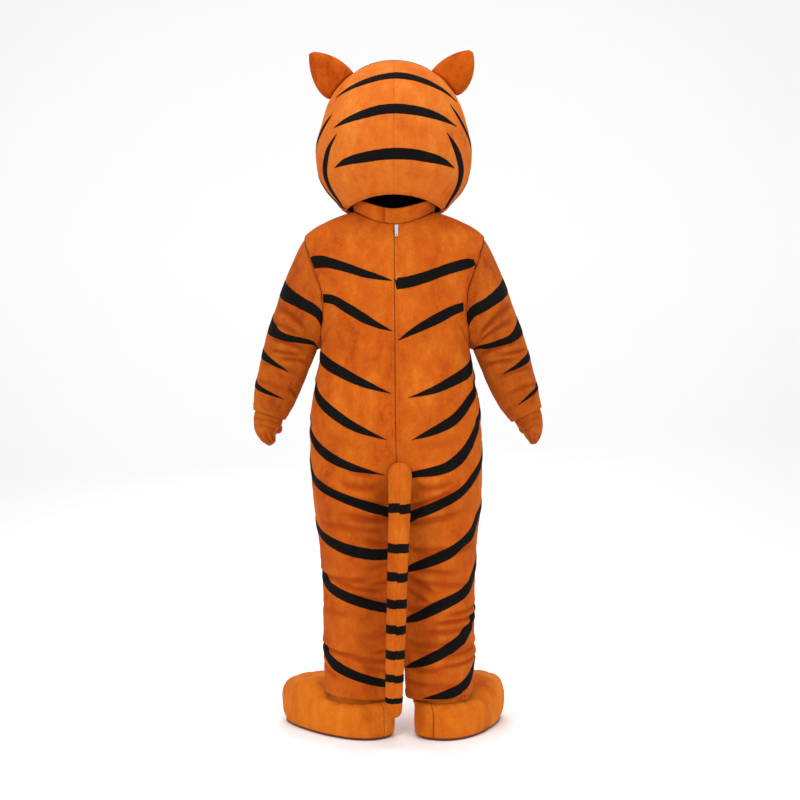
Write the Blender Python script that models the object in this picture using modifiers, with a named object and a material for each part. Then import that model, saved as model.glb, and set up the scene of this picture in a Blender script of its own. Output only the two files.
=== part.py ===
"""Tiger mascot costume, worn shape with nobody inside: head, jumpsuit, mitts, foot covers and tail.

Metres, +Z up, the costume's front towards -Y and the wearer's left towards +X. The tables give
heights above the floor; everything hangs from one empty that puts the origin at the base of the neck.
Cloth pieces are lofts: a table row gives one cross-section, and the rows are joined smoothly.
"""

import math

import bmesh
import bpy
import mathutils
import numpy as np

# ---------------------------------------------------------------- driving dimensions (metres)
NECK_HEIGHT = 1.470     # the origin, at the base of the neck, above the floor
PLUSH = 0.003           # cloth with its short pile
FOAM_SHELL = 0.009      # head: plush over foam
FOOT_WALL = 0.006       # foot cover: plush over thin foam
SEAM = 0.0004           # half of what two sewn edges leave between them
CLEAR = 0.0006          # between a piece and the one that it lies on
LEAN = ((0.00, -0.010), (0.45, -0.008), (0.62, -0.0045), (0.90, 0.001), (1.30, 0.004), (1.60, 0.006),
        (2.00, 0.006))

# The jumpsuit's left back panel, one row a cross-section from its inner edge (centre seam or
# inseam) to its outer edge (side seam, armhole, shoulder seam). Turns are degrees from straight
# out, pulls are how far the cloth keeps that direction. front scales the depth of the front panel.
SUIT_COLUMNS = ("level", "in_x", "in_y", "in_turn", "in_pull",
                "out_z", "out_x", "out_y", "out_turn", "out_pull", "front", "front_drop")
SUIT_ROWS = (
    (0.105, 0.018, 0.000, 90, 0.42, 0.121, 0.212, 0.000, -90, 0.42, 1.00, 0.000),   # hem
    (0.220, 0.013, 0.000, 90, 0.44, 0.226, 0.216, 0.000, -90, 0.44, 1.00, 0.000),   # calf
    (0.390, 0.008, 0.000, 90, 0.46, 0.390, 0.217, 0.000, -90, 0.46, 1.02, 0.000),   # knee
    (0.540, 0.006, 0.000, 90, 0.52, 0.540, 0.226, 0.000, -90, 0.52, 1.02, 0.000),   # thigh
    (0.620, 0.004, 0.000, 90, 0.58, 0.620, 0.236, 0.000, -90, 0.58, 1.02, 0.000),   # crotch
    (0.650, 0.004, 0.032, 82, 0.56, 0.650, 0.239, 0.000, -90, 0.55, 1.02, 0.000),
    (0.690, 0.004, 0.088, 60, 0.50, 0.690, 0.242, 0.000, -90, 0.47, 1.04, 0.000),
    (0.735, 0.003, 0.137, 30, 0.45, 0.735, 0.245, 0.000, -90, 0.36, 1.07, 0.000),
    (0.790, 0.0004, 0.163, 0, 0.42, 0.790, 0.2465, 0.000, -90, 0.29, 1.12, 0.000),  # seat
    (0.870, 0.0004, 0.166, 0, 0.41, 0.870, 0.2455, 0.000, -90, 0.28, 1.17, 0.000),  # hips
    (0.970, 0.0004, 0.161, 0, 0.40, 0.970, 0.2350, 0.000, -90, 0.27, 1.16, 0.000),  # waist
    (1.050, 0.0004, 0.155, 0, 0.38, 1.050, 0.2200, 0.000, -90, 0.26, 1.10, 0.000),
    (1.100, 0.0004, 0.152, 0, 0.37, 1.100, 0.2120, 0.000, -90, 0.25, 1.06, 0.000),  # armpit
    (1.135, 0.0004, 0.150, 0, 0.35, 1.135, 0.2090, 0.055, -68, 0.19, 1.04, 0.000),
    (1.205, 0.0004, 0.147, 0, 0.33, 1.205, 0.2005, 0.083, -45, 0.16, 1.02, 0.000),
    (1.255, 0.0004, 0.143, 0, 0.33, 1.255, 0.2050, 0.085, -40, 0.15, 1.00, 0.004),
    (1.305, 0.0004, 0.137, 0, 0.34, 1.315, 0.2250, 0.074, -42, 0.15, 0.98, 0.008),
    (1.345, 0.0004, 0.130, 0, 0.36, 1.370, 0.2450, 0.046, -55, 0.16, 0.96, 0.013),
    (1.375, 0.0004, 0.123, 0, 0.37, 1.415, 0.2565, 0.0010, -78, 0.17, 0.95, 0.018),  # shoulder tip
    (1.394, 0.0004, 0.117, 0, 0.35, 1.440, 0.2330, 0.0010, -90, 0.18, 0.95, 0.020),
    (1.412, 0.0004, 0.111, 0, 0.31, 1.462, 0.1940, 0.0010, -90, 0.17, 0.95, 0.021),
    (1.428, 0.0004, 0.105, 0, 0.26, 1.478, 0.1550, 0.0010, -90, 0.165, 0.95, 0.022),
    (1.444, 0.0004, 0.098, 0, 0.19, 1.490, 0.1150, 0.0010, -90, 0.160, 0.95, 0.023),  # neck
)
SUIT_EDGE = 0.0015      # share of a row left free at each edge, for the seam
SUIT_STEPS_ACROSS = 8
ARMHOLE_STEPS = 7       # rows from the armpit to the shoulder tip, shared with the sleeve
ARMPIT_LEVEL = 1.100
TIP_LEVEL = 1.375
NECK_LEVEL = 1.444
HEM_LEVEL = 0.105
FRONT_HEM_LIFT = 0.046  # the leg's hem rises over the instep
HEM_FADE_LEVEL = 0.30

# The sleeve below its cap: centre of each ring, its half width across and its half depth.
SLEEVE_COLUMNS = ("along", "x", "y", "z", "half_wide", "half_deep")
SLEEVE_ROWS = {
    "left": (
        (0.40, 0.297, -0.004, 1.115, 0.0750, 0.0760),   # biceps
        (0.55, 0.315, -0.012, 1.062, 0.0715, 0.0720),   # elbow
        (0.70, 0.334, -0.023, 1.006, 0.0665, 0.0680),
        (0.85, 0.352, -0.034, 0.953, 0.0600, 0.0620),
        (1.00, 0.367, -0.043, 0.908, 0.0500, 0.0520),   # cuff
    ),
    "right": (
        (0.40, 0.297, -0.004, 1.115, 0.0750, 0.0760),
        (0.55, 0.316, -0.012, 1.062, 0.0730, 0.0730),
        (0.70, 0.336, -0.023, 1.006, 0.0685, 0.0690),
        (0.85, 0.358, -0.034, 0.953, 0.0610, 0.0630),
        (1.00, 0.380, -0.043, 0.908, 0.0500, 0.0520),
    ),
}
CAP_END = 0.40
SLEEVE_GAP = 0.0010
ARMPIT_GAP = 0.0010     # more room where the walls meet under the arm
SLEEVE_SPOKES = 2 * ARMHOLE_STEPS

# The mitt: rings from inside the cuff to the fingertips, then a rounded end.
MITT_COLUMNS = ("along", "x", "y", "z", "half_wide", "half_deep")
MITT_ROWS = {
    "left": (
        (0.00, 0.3650, -0.043, 0.916, 0.0425, 0.0430),
        (0.25, 0.3720, -0.050, 0.891, 0.0420, 0.0455),
        (0.50, 0.3775, -0.061, 0.868, 0.0350, 0.0480),
        (0.75, 0.3740, -0.072, 0.845, 0.0260, 0.0430),
        (1.00, 0.3650, -0.080, 0.827, 0.0140, 0.0240),
    ),
    "right": (
        (0.00, 0.3780, -0.043, 0.916, 0.0425, 0.0430),
        (0.25, 0.3890, -0.050, 0.891, 0.0395, 0.0455),
        (0.50, 0.3975, -0.061, 0.868, 0.0310, 0.0470),
        (0.75, 0.4005, -0.072, 0.845, 0.0230, 0.0420),
        (1.00, 0.4020, -0.080, 0.829, 0.0120, 0.0220),
    ),
}
THUMBS = {    # start and end of each thumb's middle line
    "left": ((0.352, -0.1120, 0.883), (0.346, -0.1200, 0.852)),
    "right": ((0.372, -0.1140, 0.883), (0.380, -0.1260, 0.852)),
}
THUMB_RADII = (0.0120, 0.0135, 0.0100)
THUMB_SPOKES = 10
THUMB_RINGS = 8
MITT_TIP = 0.008        # how far the rounded end goes beyond the last ring
MITT_ALONG = (0.0, 0.2, 0.4, 0.6, 0.8, 1.0, 1.6, 2.0)
MITT_STEPS_AROUND = 5
MITT_EDGE = 0.006       # share of the ring left free at each seam
MITT_WALL = 0.0025

# The head's horizontal sections, from the crown down.
HEAD_COLUMNS = ("height", "half_wide", "back", "front")
HEAD_ROWS = (
    (1.456, 0.116, 0.106, 0.122),
    (1.480, 0.138, 0.128, 0.145),
    (1.511, 0.160, 0.152, 0.172),
    (1.557, 0.1985, 0.184, 0.202),
    (1.602, 0.2185, 0.201, 0.217),
    (1.648, 0.2240, 0.207, 0.222),
    (1.694, 0.2200, 0.205, 0.219),
    (1.740, 0.2095, 0.198, 0.210),
    (1.786, 0.1965, 0.183, 0.196),
    (1.821, 0.1795, 0.166, 0.179),
    (1.865, 0.1450, 0.134, 0.146),
    (1.892, 0.1120, 0.104, 0.113),
    (1.911, 0.0730, 0.069, 0.074),
    (1.9210, 0.0330, 0.031, 0.033),
    (1.9235, 0.0000, 0.000, 0.000),
)
HEAD_Y = -0.015         # the head's middle, in front of the shoulder line
CROWN_HEIGHT = 1.9235
RIM_BACK = 1.518        # the neck opening's edge: arched at the back, lowest under the chin
RIM_SIDE = 1.490
RIM_FRONT = 1.472
RIM_ARCH = 2.4          # how narrow the arch at the back is
HEAD_STEPS_DOWN = 10
HEAD_STEPS_AROUND = 7
HEAD_GAP = 0.0012       # half the seams between the head's four panels

# Pads that lie on the head's front: middle, half sizes, height of the puff, rings of the mesh.
MUZZLE = {"x": 0.0, "z": 1.575, "wide": 0.112, "high": 0.072, "puff": 0.058, "rings": 7}
NOSE = {"x": 0.0, "z": 1.612, "wide": 0.034, "high": 0.021, "puff": 0.020, "rings": 4}
EYE = {"x": 0.078, "z": 1.700, "wide": 0.036, "high": 0.046, "puff": 0.010, "rings": 4}
PUPIL = {"x": 0.072, "z": 1.695, "wide": 0.019, "high": 0.027, "puff": 0.007, "rings": 4}
PAD_SPOKES = 16
PAD_CLEAR = 0.0026
PAD_EDGE = 0.003        # a pad's thickness at its edge

# Ears: two edges as cubic Bezier points (x, z above the floor), meeting at the tip.
EARS = {
    "left": (((0.119, 1.898), (0.148, 1.935), (0.196, 1.957), (0.236, 1.954)),
             ((0.190, 1.820), (0.222, 1.831), (0.248, 1.892), (0.245, 1.949))),
    "right": (((0.111, 1.904), (0.138, 1.937), (0.180, 1.959), (0.218, 1.960)),
              ((0.185, 1.830), (0.217, 1.840), (0.243, 1.900), (0.228, 1.954))),
}
EAR_BASE_BOW = 0.009    # the base follows the head's roundness
EAR_PUFF = 0.019
EAR_WALL = 0.004
EAR_Y = -0.020
EAR_STEPS = 6

# Foot covers, in each foot's own plan: heel at the back, toe forward.
FOOT_HALF_WIDE = 0.105
FOOT_HALF_LONG = 0.210
FOOT_SQUARENESS = 2.35
HEEL_TO_MIDDLE = 0.110
SOLE_THICK = 0.008
SOLE_INSET = 0.008
SOLE_POINTS = 36
FOOT_EDGE = 0.008       # radians left free at each of the cover's two seams
FOOT_STEPS_AROUND = 9
FOOT_STEPS_UP = 8
ANKLE_HALF_WIDE = 0.077
ANKLE_HALF_DEEP = 0.085
HEEL_SHOULDER = 0.095   # height where the foot cover turns in under the hem, at the heel
INSTEP_SHOULDER = 0.141  # and over the instep
FOOT_COLUMNS = ("along", "reach", "rise")   # reach: 1 at the outline, 0 at the ankle
FOOT_ROWS = (
    (0.00, 0.940, 0.00),
    (0.14, 1.020, 0.22),
    (0.30, 1.035, 0.50),
    (0.45, 0.960, 0.77),
    (0.60, 0.740, 0.94),
    (0.75, 0.420, 1.00),
    (0.88, 0.110, 1.03),
    (1.00, 0.000, 1.25),
)
FEET = {    # heel centre x, y, turn-out in degrees, ankle centre x
    "left": (0.097, 0.025, 41.0, 0.102),
    "right": (-0.143, 0.025, -23.0, -0.125),
}

# The tail: centre line and radius, from the seat down.
TAIL_COLUMNS = ("along", "x", "y", "z", "radius")
TAIL_ROWS = (
    (0.00, -0.0110, 0.168, 0.7470, 0.0325),
    (0.05, -0.0110, 0.188, 0.7440, 0.0325),
    (0.10, -0.0110, 0.201, 0.7200, 0.0320),
    (0.18, -0.0105, 0.204, 0.6600, 0.0300),
    (0.40, -0.0050, 0.203, 0.4950, 0.0280),
    (0.65, 0.0000, 0.200, 0.3100, 0.0265),
    (0.85, 0.0040, 0.197, 0.1750, 0.0245),
    (1.00, 0.0050, 0.195, 0.1050, 0.0225),
)
TAIL_SPOKES = 14
TAIL_GAP = 0.0050       # between the tail's root and the seat
TAIL_TIP = 0.022
TAIL_BANDS = (0.6565, 0.5490, 0.4710, 0.3990, 0.3280, 0.2620, 0.1970, 0.1350)   # heights
BAND_HALF = 0.0135
BAND_WALL = 0.0012
BAND_CLEAR = 0.0010

# Collar and zip.
COLLAR_HEIGHT = 0.044
COLLAR_LEAN = 0.010
COLLAR_WALL = 0.003
COLLAR_CLEAR = 0.0012   # the leaning wall reaches down by 0.7 mm
NECK_SPREAD = 0.38      # metres of neck edge for one unit of its parameter, at the centre back
COLLAR_STEPS = 14
TAB_REACH = 0.028       # the right collar's end laps this far past the centre
SLIDER_LEVEL = 1.4340
SLIDER_WIDE = 0.0100
SLIDER_LONG = 0.0150
SLIDER_THICK = 0.0022
PIN_ABOVE = 0.0030      # pull tab's hinge line above the slider's plate
PIN_RADIUS = 0.0008
EYE_BORE = 0.0012
EYE_RADIUS = 0.0020
TAB_LONG = 0.0300
TAB_WIDE = 0.0085
TAB_THICK = 0.0014
TAB_REST_TILT = 5.0     # degrees, the tab's end drops towards the cloth
TAB_HOLE = 0.0021
HOLE_ABOVE_END = 0.0045
JOIN = 0.0004           # parts of one solid reach this far into each other
EYE_WIDE = 0.0032
BLADE_TOP = 0.0038      # the wide part starts below the lugs
LUG_PLACE = 0.0030      # the slider's two lugs stand this far each side of its middle
LUG_THICK = 0.0016
LUG_LONG = 0.0050
SLIDER_X = -0.0018
SLIDER_OFF_CLOTH = 0.0006

COLOURS = {
    "orange plush": ((0.70, 0.21, 0.03), 0.85, 0.0),
    "black plush": ((0.008, 0.007, 0.007), 0.80, 0.0),
    "cream plush": ((0.80, 0.66, 0.45), 0.85, 0.0),
    "sole rubber": ((0.03, 0.022, 0.018), 0.70, 0.0),
    "eye white": ((0.85, 0.84, 0.80), 0.35, 0.0),
    "pupil black": ((0.01, 0.01, 0.01), 0.25, 0.0),
    "zip metal": ((0.80, 0.80, 0.82), 0.30, 1.0),
}

# ---------------------------------------------------------------- scene, collections, materials
for old in list(bpy.data.objects):
    bpy.data.objects.remove(old, do_unlink=True)

COSTUME = bpy.data.collections.new("tiger_mascot_costume")
CUTTERS = bpy.data.collections.new("cutters")
for holder in (COSTUME, CUTTERS):
    bpy.context.scene.collection.children.link(holder)

STAND = bpy.data.objects.new("neck_base", None)
STAND.location = (0.0, 0.0, -NECK_HEIGHT)
COSTUME.objects.link(STAND)


def finish_of(name):
    """The Principled material of one finish, made once."""
    material = bpy.data.materials.get(name)
    if material is None:
        colour, roughness, metallic = COLOURS[name]
        material = bpy.data.materials.new(name)
        material.use_nodes = True
        shader = material.node_tree.nodes["Principled BSDF"]
        shader.inputs["Base Color"].default_value = (*colour, 1.0)
        shader.inputs["Roughness"].default_value = roughness
        shader.inputs["Metallic"].default_value = metallic
        material.diffuse_color = (*colour, 1.0)
    return material


# ---------------------------------------------------------------- curves through tables
def eased(knots, values, at):
    """A smooth curve through the knots that never swings past them (monotone cubic)."""
    knots, values, at = (np.asarray(a, dtype=float) for a in (knots, values, at))
    run = np.diff(knots)
    slope = np.diff(values) / run
    bend = np.zeros_like(values)
    bend[0], bend[-1] = slope[0], slope[-1]
    same_way = slope[:-1] * slope[1:] > 0
    before, after = slope[:-1][same_way], slope[1:][same_way]
    bend[1:-1][same_way] = 2 * before * after / (before + after)
    spot = np.clip(np.searchsorted(knots, at, side="right") - 1, 0, len(run) - 1)
    t = np.clip((at - knots[spot]) / run[spot], 0, 1)
    low, high, width = values[spot], values[spot + 1], run[spot]
    return (low * (1 + 2 * t) * (1 - t) ** 2 + high * t * t * (3 - 2 * t)
            + width * (bend[spot] * t * (1 - t) ** 2 - bend[spot + 1] * t * t * (1 - t)))


def table_at(columns, rows, at):
    """Every column of a table, eased at the given values of its first column."""
    rows = sorted(rows)
    knots = [row[0] for row in rows]
    return {name: eased(knots, [row[i] for row in rows], at) for i, name in enumerate(columns)}


def hermite(start, start_pull, end, end_pull, t):
    """The cubic that leaves start along start_pull and reaches end along end_pull."""
    return (start * (1 + 2 * t) * (1 - t) ** 2 + end * t * t * (3 - 2 * t)
            + start_pull * t * (1 - t) ** 2 - end_pull * t * t * (1 - t))


def smooth(t):
    """From 0 to 1 with level ends."""
    t = np.clip(t, 0, 1)
    return t * t * (3 - 2 * t)


def cosine_steps(count):
    """count + 1 values from 0 to 1, closer together at both ends."""
    return (1 - np.cos(np.linspace(0, math.pi, count + 1))) / 2


def placed(points, side):
    """A left-hand shape moved to its side, with the whole figure's slight lean."""
    out = np.array(points, dtype=float)
    lean_heights, lean = zip(*LEAN)
    out[..., 0] = side * out[..., 0] + np.interp(out[..., 2], lean_heights, lean)
    return out


# ---------------------------------------------------------------- meshes from grids
def new_object(name, mesh, finish):
    """An object in the costume, under the neck's empty."""
    thing = bpy.data.objects.new(name, mesh)
    thing.data.materials.append(finish_of(finish))
    thing.parent = STAND
    COSTUME.objects.link(thing)
    return thing


def grid_faces(rows, columns, wrap):
    """Quads of a grid of points; wrap joins the last column to the first."""
    i, j = np.meshgrid(np.arange(rows - 1), np.arange(columns if wrap else columns - 1), indexing="ij")
    k = (j + 1) % columns
    return np.stack([i * columns + j, i * columns + k, (i + 1) * columns + k, (i + 1) * columns + j],
                    axis=-1).reshape(-1, 4)


def loft(name, points, finish, wrap=False, flip=False, caps=(), thickness=0.0):
    """A mesh through a grid of points (rows, columns, 3), thickened inwards when asked."""
    rows, columns = points.shape[:2]
    faces = [list(map(int, f)) for f in grid_faces(rows, columns, wrap)]
    for row in caps:
        ring = [row % rows * columns + j for j in range(columns)]
        faces.append(ring[::-1] if row == 0 else ring)
    if flip:
        faces = [f[::-1] for f in faces]
    mesh = bpy.data.meshes.new(name)
    mesh.from_pydata([tuple(map(float, p)) for p in points.reshape(-1, 3)], [], faces)
    work = bmesh.new()
    work.from_mesh(mesh)
    bmesh.ops.remove_doubles(work, verts=work.verts[:], dist=1e-6)
    bmesh.ops.dissolve_degenerate(work, edges=work.edges[:], dist=1e-6)
    work.to_mesh(mesh)
    work.free()
    mesh.shade_smooth()
    thing = new_object(name, mesh, finish)
    if thickness:
        wall = thing.modifiers.new("cloth", "SOLIDIFY")
        wall.thickness = thickness
        wall.offset = -1.0
    return thing


# ---------------------------------------------------------------- jumpsuit
def suit_surface(level, across, front):
    """A point of the left half's back (or front) panel: the cubic of its row, inner edge to outer edge."""
    row = table_at(SUIT_COLUMNS, SUIT_ROWS, level)
    depth = -row["front"] if front else 1.0
    turn_in, turn_out = np.radians(row["in_turn"]), np.radians(row["out_turn"])
    x = hermite(row["in_x"], row["in_pull"] * np.cos(turn_in),
                row["out_x"], row["out_pull"] * np.cos(turn_out), across)
    y = depth * hermite(row["in_y"], row["in_pull"] * np.sin(turn_in),
                        row["out_y"], row["out_pull"] * np.sin(turn_out), across)
    z_in = level - row["front_drop"] * front
    z = z_in + (row["out_z"] - z_in) * smooth(across)
    hem = np.clip((HEM_FADE_LEVEL - level) / (HEM_FADE_LEVEL - HEM_LEVEL), 0, 1)
    z = z + front * FRONT_HEM_LIFT * hem * np.sin(math.pi * across)
    return np.stack([x, y, z], axis=-1)


def suit_panel(name, side, front):
    """One of the four panels, from the ankle hem to the neck."""
    across = SUIT_EDGE + (1 - 2 * SUIT_EDGE) * cosine_steps(SUIT_STEPS_ACROSS)
    level_grid, across_grid = np.meshgrid(SUIT_LEVELS, across, indexing="ij")
    points = placed(suit_surface(level_grid, across_grid, front), side)
    return loft(name, points, "orange plush", flip=(side > 0) != bool(front), thickness=PLUSH)


SUIT_LEVELS = np.concatenate([
    np.linspace(HEM_LEVEL, 0.60, 5, endpoint=False), np.linspace(0.60, 0.80, 9, endpoint=False),
    np.linspace(0.80, ARMPIT_LEVEL, 3, endpoint=False),
    np.linspace(ARMPIT_LEVEL, TIP_LEVEL, ARMHOLE_STEPS, endpoint=False),
    np.linspace(TIP_LEVEL, NECK_LEVEL, 5)])
for side_name, side in (("left", 1), ("right", -1)):
    for face_name, front in (("back", 0), ("front", 1)):
        suit_panel(f"suit_{face_name}_{side_name}", side, front)


# ---------------------------------------------------------------- sleeves
def armhole(around):
    """The left armhole's edge: 0 armpit, 0.25 front, 0.5 shoulder tip, 0.75 back."""
    around = np.asarray(around, dtype=float)
    front = around <= 0.5
    share = np.where(front, 2 * around, 2 - 2 * around)
    level = ARMPIT_LEVEL + (TIP_LEVEL - ARMPIT_LEVEL) * share
    ahead = suit_surface(level, np.ones_like(level), 1)
    behind = suit_surface(level, np.ones_like(level), 0)
    return np.where(front[..., None], ahead, behind)


def tube_ring(table, around):
    """Rings square to a centre line in the X-Z plane: 0 inner side, 0.25 front, 0.5 outer, 0.75 back."""
    centre = np.stack([table["x"], table["y"], table["z"]], axis=-1)
    angle = 2 * math.pi * around
    slope = table["slope"]
    out = np.stack([np.cos(slope), np.zeros_like(slope), np.sin(slope)], axis=-1)
    back = np.array([0.0, 1.0, 0.0])
    return (centre - (table["half_wide"] * np.cos(angle))[..., None] * out
            - (table["half_deep"] * np.sin(angle))[..., None] * back)


def with_slope(columns, rows, at):
    """A table's values and the slope of its centre line in X-Z, for rings that stay square to it."""
    table = table_at(columns, rows, at)
    step = 0.02
    lo, hi = (table_at(columns, rows, np.clip(at + s, rows[0][0], rows[-1][0])) for s in (-step, step))
    table["slope"] = np.arctan2(hi["x"] - lo["x"], lo["z"] - hi["z"])
    return table


def sleeve_surface(along, around, rows):
    """A sleeve: a cap from the armhole to the biceps ring, then rings down to the cuff."""
    lower = tube_ring(with_slope(SLEEVE_COLUMNS, rows, np.maximum(along, CAP_END)), around)
    biceps = with_slope(SLEEVE_COLUMNS, rows, np.full_like(along, CAP_END))
    end = tube_ring(biceps, around)
    start = armhole(around)
    angle = 2 * math.pi * around
    lead = np.stack([0.62 + 0.12 * np.cos(angle), -0.30 * np.sin(angle),
                     -0.72 + 0.10 * np.cos(angle)], axis=-1)
    lead /= np.linalg.norm(lead, axis=-1, keepdims=True)
    reach = np.linalg.norm(end - start, axis=-1, keepdims=True)
    axis = np.stack([np.sin(biceps["slope"]), np.zeros_like(along), -np.cos(biceps["slope"])], axis=-1)
    t = np.clip(along / CAP_END, 0, 1)[..., None]
    gap = (SLEEVE_GAP + ARMPIT_GAP * np.clip(np.cos(angle), 0, 1) ** 2)[..., None]
    cap = hermite(start + gap * lead, reach * lead, end, reach * axis, t)
    return np.where((along < CAP_END)[..., None], cap, lower)


sleeve_along = np.concatenate([[0.0, 0.03], np.linspace(0.09, CAP_END, 4, endpoint=False),
                               np.linspace(CAP_END, 1, 6)])
along_grid, around_grid = np.meshgrid(sleeve_along, np.arange(SLEEVE_SPOKES) / SLEEVE_SPOKES, indexing="ij")
for side_name, side in (("left", 1), ("right", -1)):
    points = placed(sleeve_surface(along_grid, around_grid, SLEEVE_ROWS[side_name]), side)
    loft(f"sleeve_{side_name}", points, "orange plush", wrap=True, flip=side > 0, thickness=PLUSH)


# ---------------------------------------------------------------- mitts
def mitt_surface(along, around, rows):
    """A mitt: rings from the wrist to the fingertips, rounded off beyond the last ring."""
    table = with_slope(MITT_COLUMNS, rows, np.clip(along, 0, 1))
    past = np.clip(along - 1, 0, 1)
    shrink = np.sqrt(np.clip(1 - past ** 2, 0, 1))
    table["half_wide"] = table["half_wide"] * shrink
    table["half_deep"] = table["half_deep"] * shrink
    points = tube_ring(table, around)
    points[..., 2] -= MITT_TIP * past
    points[..., 1] -= MITT_TIP * past * 0.4
    return points


for side_name, side in (("left", 1), ("right", -1)):
    for piece, first, shift in (("palm", 0.0, -SEAM), ("back", 0.5, SEAM)):
        around = first + MITT_EDGE + (0.5 - 2 * MITT_EDGE) * cosine_steps(MITT_STEPS_AROUND)
        along_grid, around_grid = np.meshgrid(MITT_ALONG, around, indexing="ij")
        points = mitt_surface(along_grid, around_grid, MITT_ROWS[side_name])
        points[..., 1] += shift
        loft(f"mitt_{piece}_{side_name}", placed(points, side), "orange plush", flip=side > 0,
             thickness=MITT_WALL)
    thumb_start, thumb_end = THUMBS[side_name]
    heading = np.subtract(thumb_end, thumb_start)
    length = np.linalg.norm(heading)
    heading = heading / length
    # a rounded capsule: circles square to the heading, their radius falling away at both ends
    sweep = np.linspace(0.001, math.pi - 0.001, THUMB_RINGS)
    run = (1 - np.cos(sweep)) / 2
    radius = np.interp(run, (0.0, 0.5, 1.0), THUMB_RADII) * np.sin(sweep) ** 0.7
    first_axis = np.cross(heading, (0.0, 1.0, 0.0))
    first_axis /= np.linalg.norm(first_axis)
    second_axis = np.cross(heading, first_axis)
    turn = 2 * math.pi * np.arange(THUMB_SPOKES) / THUMB_SPOKES
    middle = np.array(thumb_start) + (run * length)[:, None] * heading
    thumb = (middle[:, None] + (radius[:, None] * np.cos(turn))[..., None] * first_axis
             + (radius[:, None] * np.sin(turn))[..., None] * second_axis)
    loft(f"thumb_{side_name}", placed(thumb, side), "orange plush", wrap=True, flip=side < 0,
         caps=(0, -1))


# ---------------------------------------------------------------- collar
def neck_ring(around):
    """The suit's neck edge: 0 front centre, 0.5 left shoulder, 1 back centre (left half)."""
    front = around <= 0.5
    across = np.where(front, 2 * around, 2 - 2 * around)
    level = np.full_like(across, NECK_LEVEL)
    ahead, behind = suit_surface(level, across, 1), suit_surface(level, across, 0)
    return np.where(front[..., None], ahead, behind)


def collar_surface(around, up):
    """The stand collar: straight up from the neck edge, leaning in a little."""
    base = neck_ring(np.clip(around, 0, 1))
    outwards = base * (1.0, 1.0, 0.0)
    outwards /= np.linalg.norm(outwards, axis=-1, keepdims=True)
    points = base - COLLAR_LEAN * up[..., None] * outwards
    points[..., 2] += COLLAR_CLEAR + COLLAR_HEIGHT * up
    return points


collar_up = np.linspace(0, 1, 3)
up_grid, around_grid = np.meshgrid(collar_up, 0.004 + 0.988 * cosine_steps(COLLAR_STEPS), indexing="ij")
loft("collar_left", placed(collar_surface(around_grid, up_grid), 1), "orange plush",
     thickness=COLLAR_WALL)
# the right collar runs on past the centre as a tab that lies on the left one
right_half = placed(collar_surface(around_grid, up_grid), -1)
lap = smooth(np.interp(around_grid, (0.80, 0.93), (0, 1)))
right_half[..., 1] += (COLLAR_WALL + 2 * CLEAR) * lap
tab_across = np.linspace(0.25, 1, 3) * TAB_REACH
tab_up = np.repeat(collar_up[:, None], len(tab_across), axis=1)
tab_place = np.repeat(1 - (tab_across / NECK_SPREAD)[None, :], len(collar_up), axis=0)
tab = placed(collar_surface(tab_place, tab_up), 1)
tab[..., 1] += COLLAR_WALL + 2 * CLEAR
loft("collar_right", np.concatenate([right_half, tab], axis=1), "orange plush", flip=True,
     thickness=COLLAR_WALL)


# ---------------------------------------------------------------- head
def rim_height(turn):
    """The neck opening's edge: 0 back, pi/2 side, pi front; arched up at the back."""
    back = np.clip(np.cos(turn), 0, 1) ** RIM_ARCH
    front = np.clip(-np.cos(turn), 0, 1) ** 2
    return RIM_SIDE + (RIM_BACK - RIM_SIDE) * back + (RIM_FRONT - RIM_SIDE) * front


def head_at(height, turn):
    """The head's surface at a height and a direction (0 back, pi/2 left side, pi front)."""
    ring = table_at(HEAD_COLUMNS, HEAD_ROWS, height)
    deep = np.where(np.cos(turn) >= 0, ring["back"], ring["front"])
    x = ring["half_wide"] * np.sin(turn)
    y = HEAD_Y + deep * np.cos(turn)
    return np.stack([x, y, height + 0 * x], axis=-1)


def head_surface(down, turn):
    """down is 0 at the crown and 1 at the neck opening's edge."""
    swing = np.sin(down * math.pi / 2) ** 2
    height = CROWN_HEIGHT - (CROWN_HEIGHT - rim_height(turn)) * swing
    return head_at(height, turn)


for side_name, side in (("left", 1), ("right", -1)):
    for face_name, first, shift in (("back", 0.0, HEAD_GAP), ("front", math.pi / 2, -HEAD_GAP)):
        down = np.linspace(0.02, 1, HEAD_STEPS_DOWN)
        down[0] = 0.0
        turn = first + math.pi / 2 * cosine_steps(HEAD_STEPS_AROUND)
        down_grid, turn_grid = np.meshgrid(down, turn, indexing="ij")
        points = head_surface(down_grid, turn_grid) + (HEAD_GAP, shift, 0.0)
        loft(f"head_{face_name}_{side_name}", placed(points, side), "orange plush", flip=side < 0,
             thickness=FOAM_SHELL)


# ---------------------------------------------------------------- face: pads that lie on the head
def head_front_y(x, z):
    """How far forward the head's front is at x, z (its surface solved for y)."""
    ring = table_at(HEAD_COLUMNS, HEAD_ROWS, z)
    share = np.clip(1 - (x / ring["half_wide"]) ** 2, 0, 1)
    return HEAD_Y - ring["front"] * np.sqrt(share)


def dome(x, z, pad):
    """Height of a pad's rounded top above what it lies on: a flattened half ellipsoid."""
    away = ((x - pad["x"]) / pad["wide"]) ** 2 + ((z - pad["z"]) / pad["high"]) ** 2
    return pad["puff"] * np.clip(1 - away, 0, 1) ** 0.5


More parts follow.
